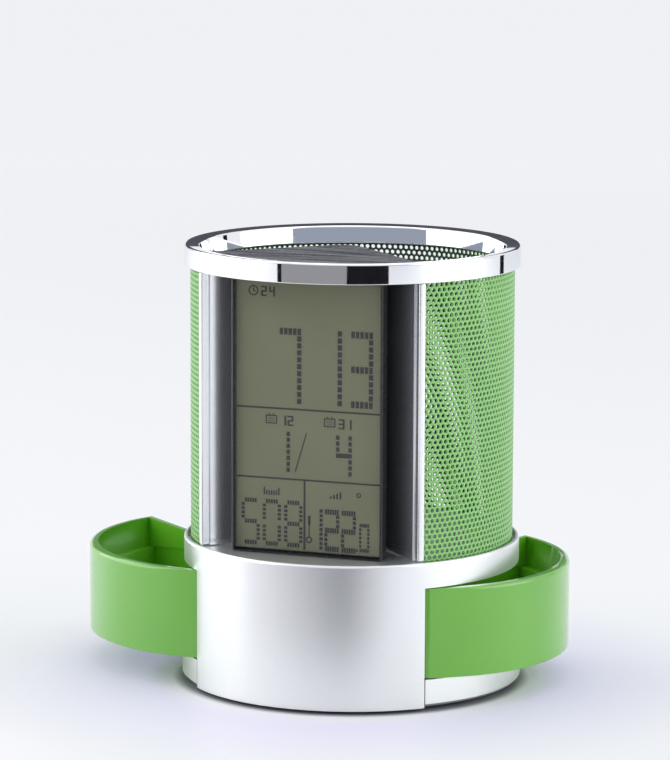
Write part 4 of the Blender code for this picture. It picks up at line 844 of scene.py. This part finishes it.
def slab(shape, start, end, width):
    """Flat bar of a width between two places."""
    first, last = ((Vector(place) + MARKS_SHIFT).to_3d() * MM for place in (start, end))
    run = last - first
    middle = (first + last) / 2
    turn = Matrix.Rotation(-run.xy.angle_signed(Vector((1, 0))), 4, "Y")
    size = Matrix.Diagonal((run.length, MARK_BACK - MARK_FRONT, width * MM, 1))
    where = Matrix.Translation((middle.x, (MARK_FRONT + MARK_BACK) / 2, middle.y))
    bmesh.ops.create_cube(shape, size=1, matrix=where @ turn @ size)


def block(shape, left, top, width, height):
    """Flat block with its left and top edges at a place."""
    slab(shape, (left, top - height / 2), (left + width, top - height / 2), height)


def hoop(shape, centre, radius, width):
    """Flat ring round a place."""
    x, z = (Vector(centre) + MARKS_SHIFT) * MM
    stand = Matrix.Translation((x, MARK_FRONT, z)) @ Matrix.Rotation(pi / 2, 4, "X")
    known = set(shape.edges)
    for reach in (radius + width / 2, radius - width / 2):
        bmesh.ops.create_circle(shape, segments=HOOP_SIDES, radius=reach * MM, matrix=stand)
    rims = [edge for edge in shape.edges if edge not in known]
    faces = bmesh.ops.bridge_loops(shape, edges=rims)["faces"]
    bmesh.ops.solidify(shape, geom=faces, thickness=MARK_FRONT - MARK_BACK)


def stroke_cells(grid, corners):
    """Cells of each stroke on a grid of columns and rows, with or without the ones at its corners."""
    columns, rows = grid
    middle = rows // 2
    across = range(columns) if corners else range(1, columns - 1)
    upper = range(0 if corners else 1, middle + corners)
    lower = range(middle + 1 - corners, rows - 1 + corners)
    return {
        "top": [(column, 0) for column in across],
        "middle": [(column, middle) for column in across],
        "bottom": [(column, rows - 1) for column in across],
        "upper_left": [(0, row) for row in upper],
        "upper_right": [(columns - 1, row) for row in upper],
        "lower_left": [(0, row) for row in lower],
        "lower_right": [(columns - 1, row) for row in lower],
    }


def digit(shape, number, left, top, grid, pitch, size, corners=True, level_size=None):
    """Number built of blocks. The blocks in its level strokes can have a size of their own."""
    cells = stroke_cells(grid, corners)
    sizes = {}
    for stroke in STROKES[number]:
        level = level_size and stroke in ("top", "middle", "bottom")
        for cell in cells[stroke]:
            sizes[cell] = level_size if level else sizes.get(cell, size)
    for (column, row), (width, height) in sorted(sizes.items()):
        block(shape, left + column * pitch[0] + (size[0] - width) / 2,
              top - row * pitch[1] - (size[1] - height) / 2, width, height)


def display_digits():
    """The lit numbers: hour and minutes, date, seconds and degrees."""
    shape = bmesh.new()
    for style, number, left, top in NUMBERS:
        digit(shape, number, left, top, **style)
    block(shape, **DECIMAL_POINT)
    piece("display_digits", shape, "pot", "display_glass", DISPLAY_INK)


def display_lines():
    """Lines that part the display's fields, and the stroke in the date."""
    shape = bmesh.new()
    for height in (HOUR_FOOT, DATE_FOOT):
        slab(shape, (FIELDS_LEFT, height), (FIELDS_RIGHT, height), FIELD_LINE)
    slab(shape, (SECONDS_RIGHT, FIELDS_FOOT), (SECONDS_RIGHT, DATE_FOOT), PARTING_LINE)
    slab(shape, *DATE_STROKE, DATE_STROKE_LINE)
    piece("display_lines", shape, "pot", "display_glass", DISPLAY_INK)


def clock_sign(shape):
    """Ring with two hands, and the number of hours that the clock counts to."""
    hoop(shape, CLOCK_CENTRE, CLOCK_RADIUS, CLOCK_LINE)
    for hand in CLOCK_HANDS:
        slab(shape, CLOCK_CENTRE, CLOCK_CENTRE + Vector(hand), HAND_LINE)
    for number, left in CLOCK_NUMBERS:
        digit(shape, number, left, CLOCK_NUMBERS_TOP, **SMALL)


def calendar_sign(shape, left, numbers):
    """Page with two binding rings and six dots, and a number of two places beside it."""
    right = left + PAGE_WIDTH
    for height in (PAGE_LOW, PAGE_HIGH):
        slab(shape, (left, height), (right, height), PAGE_LINE)
    for x in (left, right):
        slab(shape, (x, PAGE_LOW - PAGE_CORNER), (x, PAGE_HIGH + PAGE_CORNER), PAGE_LINE)
    for ring in PAGE_RINGS:
        slab(shape, (left + ring, PAGE_HIGH), (left + ring, PAGE_RING_TOP), PAGE_LINE)
    for dot in PAGE_DOTS:
        for top in PAGE_DOT_TOPS:
            block(shape, left + dot - PAGE_DOT / 2, top, PAGE_DOT, PAGE_DOT)
    for number, place in zip(numbers, PAGE_NUMBERS):
        digit(shape, number, left + place, PAGE_NUMBERS_TOP, **SMALL)


def week_sign(shape):
    """Seven bars, one for each day, of which the first and the last stand higher."""
    for day in range(7):
        x = WEEK_LEFT + WEEK_PITCH * day
        top = WEEK_TOP if day in (0, 6) else WEEK_TOP - WEEK_DROP
        slab(shape, (x, WEEK_FOOT), (x, top), WEEK_LINE)


def steps_sign(shape):
    """Four bars that grow."""
    for number in range(4):
        x = STEPS_LEFT + STEPS_PITCH * number
        slab(shape, (x, STEPS_FOOT), (x, STEPS_TOP + STEPS_RISE * number), STEPS_LINE)


def thermometer_sign(shape):
    """Bulb with a thin tube, and the part of the tube that is full."""
    hoop(shape, **THERMOMETER_BULB)
    for foot, line in THERMOMETER_TUBES:
        slab(shape, foot, THERMOMETER_TOP, line)


def display_pictograms():
    """Plain signs in the small fields: clock, calendars, week, steps, degree ring and thermometer."""
    shape = bmesh.new()
    clock_sign(shape)
    for left, numbers in CALENDARS:
        calendar_sign(shape, left, numbers)
    week_sign(shape)
    steps_sign(shape)
    hoop(shape, **DEGREE_SIGN)
    thermometer_sign(shape)
    bmesh.ops.recalc_face_normals(shape, faces=shape.faces)
    piece("display_pictograms", shape, "pot", "display_glass", DISPLAY_INK)


display_digits()
display_lines()
display_pictograms()


# Stage: pale floor, white room, soft boxes, and cards for the polished surfaces to mirror

FLOOR_LEVEL = -1.2 * MM
FLOOR_SIZE = 8
FLOOR_ROUGHNESS = 0.5

# The floor's distances from the pot's axis: its painted contact shadow, its painted blue shade, and how much
# of it glows, near the pot as painted fill light in the shadow and far off to join the room
CONTACT_SHADOW_FROM = 0.0505
CONTACT_SHADOW_TO = 0.0535
SHADE_FROM = 0.07
SHADE_TO = 0.12
FILL_FROM = 0.051
FILL_FULL = 0.062
FAR_FROM = 0.2
FAR_FULL = 1.5
SHADOW_FILL = 0.31
FAR_FILL = 0.59

ROOM_LIGHT = (0.67, 0.7, 0.79, 1)
ROOM_SEEN = "#f5f7fb"
LAMP_COLOUR = (1.0, 0.98, 0.93)
LAMP_AIM = Vector((0, 0, 0.08))
CLIP_END = 30

# Cards: how far they stand from the pot's axis, their upper and lower edges, and their colours
NEAR_CARDS = 0.6
FAR_CARDS = 1.5
LOW_CARD = 0.12
NEAR_TOP = 0.2
NEAR_FOOT = 0.03
LOW_TOP = 0.05
LOW_FOOT = -0.001
CARD_STEP_ANGLE = 3
BLACK = "#1b1b1f"
GREY_START = -47.4
GREY_STOP = -4
STREAK_HEIGHT = 3.5 * MM
STREAK_STRETCH = 40

# The low card: its pale ends, its dark middle, and where along the camera's right each begins
PALE_END = "#eeeef2"
DARK_MIDDLE = "#6e6f74"
LEFT_END = -0.105
DARK_FROM = -0.014
DARK_TO = -0.004
RIGHT_END = 0.042


def card_light(name, colour, streaks=None):
    """Plain light of one colour, or with level streaks of a second one."""
    made = bpy.data.materials.new(name)
    made.use_nodes = True
    tree = made.node_tree
    tree.nodes.remove(tree.nodes["Principled BSDF"])
    glow = add(tree, "Emission", None, {"Color": linear(colour), "Strength": 1})
    feed(tree.nodes["Material Output"], {"Surface": glow.outputs["Emission"]})
    if streaks:
        level = grain(glow, STREAK_HEIGHT, stretch=(STREAK_STRETCH, STREAK_STRETCH, 1))
        vary(glow, level, tints=(colour, streaks))
    return made


def graded_light(name):
    """Plain light that is darkest a little left of the camera's direction and pale at both ends."""
    made = card_light(name, PALE_END)
    tree = made.node_tree
    place = add(tree, "TexCoord").outputs["Object"]
    across = add(tree, "VectorMath", {"operation": "DOT_PRODUCT"}, {0: place, 1: VIEW_TURN.col[0].xyz})
    along = across.outputs["Value"]
    left = add(tree, "MapRange", None, {"Value": along, "From Min": LEFT_END, "From Max": DARK_FROM})
    right = add(tree, "MapRange", None, {"Value": along, "From Min": DARK_TO, "From Max": RIGHT_END,
                                         "To Min": 1, "To Max": 0})
    share = add(tree, "Math", {"operation": "MINIMUM"}, {0: left.outputs["Result"],
                                                         1: right.outputs["Result"]})
    vary(tree.nodes["Emission"], share.outputs["Value"], tints=(PALE_END, DARK_MIDDLE), spread=(0, 1))
    return made


def floor_paint():
    """Matt white floor. Towards the camera it glows a little, so that its far part joins the room; near the
    pot that glow is painted fill light, tinted as a painted blue shade, so that the shadow under the pot
    stays soft. A dark ring at the pot's foot is a painted contact shadow."""
    made, shader = finish("pale_floor", Roughness=FLOOR_ROUGHNESS)
    tree = made.node_tree
    place = add(tree, "TexCoord").outputs["Object"]
    away = add(tree, "VectorMath", {"operation": "LENGTH"}, {0: place}).outputs["Value"]
    # Painted contact shadow: the floor's colour darkens in a thin ring round the pot's foot
    vary(shader, away, tints=("#85868c", "#f0f0ef"), spread=(CONTACT_SHADOW_FROM, CONTACT_SHADOW_TO))
    # Painted fill light: near the pot the glow lightens the shadow, tinted violet as a painted blue shade;
    # far off it is even and joins the room
    glow = add(tree, "Emission", None, {"Strength": 1})
    vary(glow, away, tints=("#d4ccff", "#f2f3f6"), spread=(SHADE_FROM, SHADE_TO))
    near = add(tree, "MapRange", None, {"Value": away, "From Min": FILL_FROM, "From Max": FILL_FULL,
                                        "To Max": SHADOW_FILL})
    far = add(tree, "MapRange", None, {"Value": away, "From Min": FAR_FROM, "From Max": FAR_FULL,
                                       "To Max": FAR_FILL})
    fill = add(tree, "Math", {"operation": "ADD"}, {0: near.outputs["Result"], 1: far.outputs["Result"]})
    seen = add(tree, "LightPath").outputs["Is Camera Ray"]
    share = add(tree, "Math", {"operation": "MULTIPLY"}, {0: fill.outputs["Value"], 1: seen})
    mixed = add(tree, "MixShader", None, {0: share.outputs["Value"], 1: shader.outputs["BSDF"],
                                          2: glow.outputs["Emission"]})
    feed(tree.nodes["Material Output"], {"Surface": mixed.outputs["Shader"]})
    return made


def floor():
    """Wide flat floor at the level of the feet."""
    shape = bmesh.new()
    bmesh.ops.create_grid(shape, x_segments=1, y_segments=1, size=FLOOR_SIZE,
                          matrix=Matrix.Translation((0, 0, FLOOR_LEVEL)))
    mesh_object("floor", shape, floor_paint())


def world():
    """White room. Matt surfaces get a bluer light from it than what the camera and mirrors see."""
    made = bpy.data.worlds.new("white_room")
    made.use_nodes = True
    tree = made.node_tree
    path = add(tree, "LightPath")
    seen = path.outputs["Is Camera Ray"]
    for kind in ("Is Glossy Ray", "Is Transmission Ray"):
        seen = add(tree, "Math", {"operation": "MAXIMUM"}, {0: seen, 1: path.outputs[kind]}).outputs["Value"]
    background = tree.nodes["Background"]
    feed(background, {"Strength": 1})
    vary(background, seen, tints=(ROOM_LIGHT, ROOM_SEEN), spread=(0, 1))
    bpy.context.scene.world = made


def soft_box(name, angle, rise, distance, width, height, glow):
    """Large area lamp at an angle from the camera's direction, whose face glows at a level where 1 is
    white."""
    x, y = spot(distance * cos(radians(rise)), VIEW_ANGLE + angle)
    lamp = bpy.data.lights.new(name, "AREA")
    lamp.shape = "RECTANGLE"
    lamp.size = width
    lamp.size_y = height
    lamp.energy = glow * pi * width * height
    lamp.color = LAMP_COLOUR
    made = bpy.data.objects.new(name, lamp)
    made.location = LAMP_AIM + Vector((x, y, distance * sin(radians(rise))))
    made.rotation_euler = (LAMP_AIM - made.location).to_track_quat("-Z", "Y").to_euler()
    bpy.context.scene.collection.objects.link(made)


def card(surface, start, stop, distance, low, high):
    """Upright curved card that only polished and satin surfaces see. Its two angles are counted from
    the camera's direction."""
    shape = bmesh.new()
    x, y = spot(distance, VIEW_ANGLE + start)
    ends = [shape.verts.new((x, y, low)), shape.verts.new((x, y, high))]
    edge = shape.edges.new(ends)
    bmesh.ops.spin(shape, geom=ends + [edge], axis=(0, 0, 1), cent=(0, 0, 0), angle=radians(stop - start),
                   steps=max(2, ceil((stop - start) / CARD_STEP_ANGLE)))
    made = mesh_object(surface.name, shape, surface)
    made.visible_camera = False
    made.visible_diffuse = False
    made.visible_transmission = False
    made.visible_shadow = False


def camera():
    """Camera at the place that was found from the object's outlines."""
    lens = bpy.data.cameras.new("camera")
    lens.lens = CAMERA_LENS
    lens.clip_end = CLIP_END
    made = bpy.data.objects.new("camera", lens)
    made.matrix_world = Matrix.Translation(CAMERA_PLACE) @ VIEW_TURN
    bpy.context.scene.collection.objects.link(made)
    bpy.context.scene.camera = made


floor()
world()
soft_box("left_soft_box", angle=-98, rise=20, distance=1.2, width=1.9, height=1.2, glow=1.5)
soft_box("right_soft_box", angle=73, rise=20, distance=1.2, width=1.1, height=1.2, glow=1.7)
soft_box("top_soft_box", angle=180, rise=75, distance=1.3, width=1.0, height=1.0, glow=1.0)
card(card_light("black_card", BLACK), start=GREY_STOP, stop=23,
     distance=NEAR_CARDS, low=NEAR_FOOT, high=NEAR_TOP)
card(card_light("grey_card", "#97979b"), start=GREY_START, stop=GREY_STOP,
     distance=NEAR_CARDS, low=NEAR_FOOT, high=NEAR_TOP)
card(card_light("left_line_card", BLACK), start=-50.3, stop=GREY_START,
     distance=NEAR_CARDS, low=NEAR_FOOT, high=NEAR_TOP)
card(card_light("right_line_card", BLACK), start=115.5, stop=121,
     distance=NEAR_CARDS, low=LOW_FOOT, high=NEAR_TOP)
card(card_light("back_card", "#3e3f44", "#5f6169"), start=150, stop=210,
     distance=FAR_CARDS, low=0.26, high=0.9)
card(card_light("front_card", "#9aa1b1"), start=-70, stop=70, distance=FAR_CARDS, low=0.21, high=0.7)
card(graded_light("low_card"), start=-62, stop=22, distance=LOW_CARD, low=LOW_FOOT, high=LOW_TOP)
camera()
bpy.context.scene.view_settings.view_transform = "Standard"
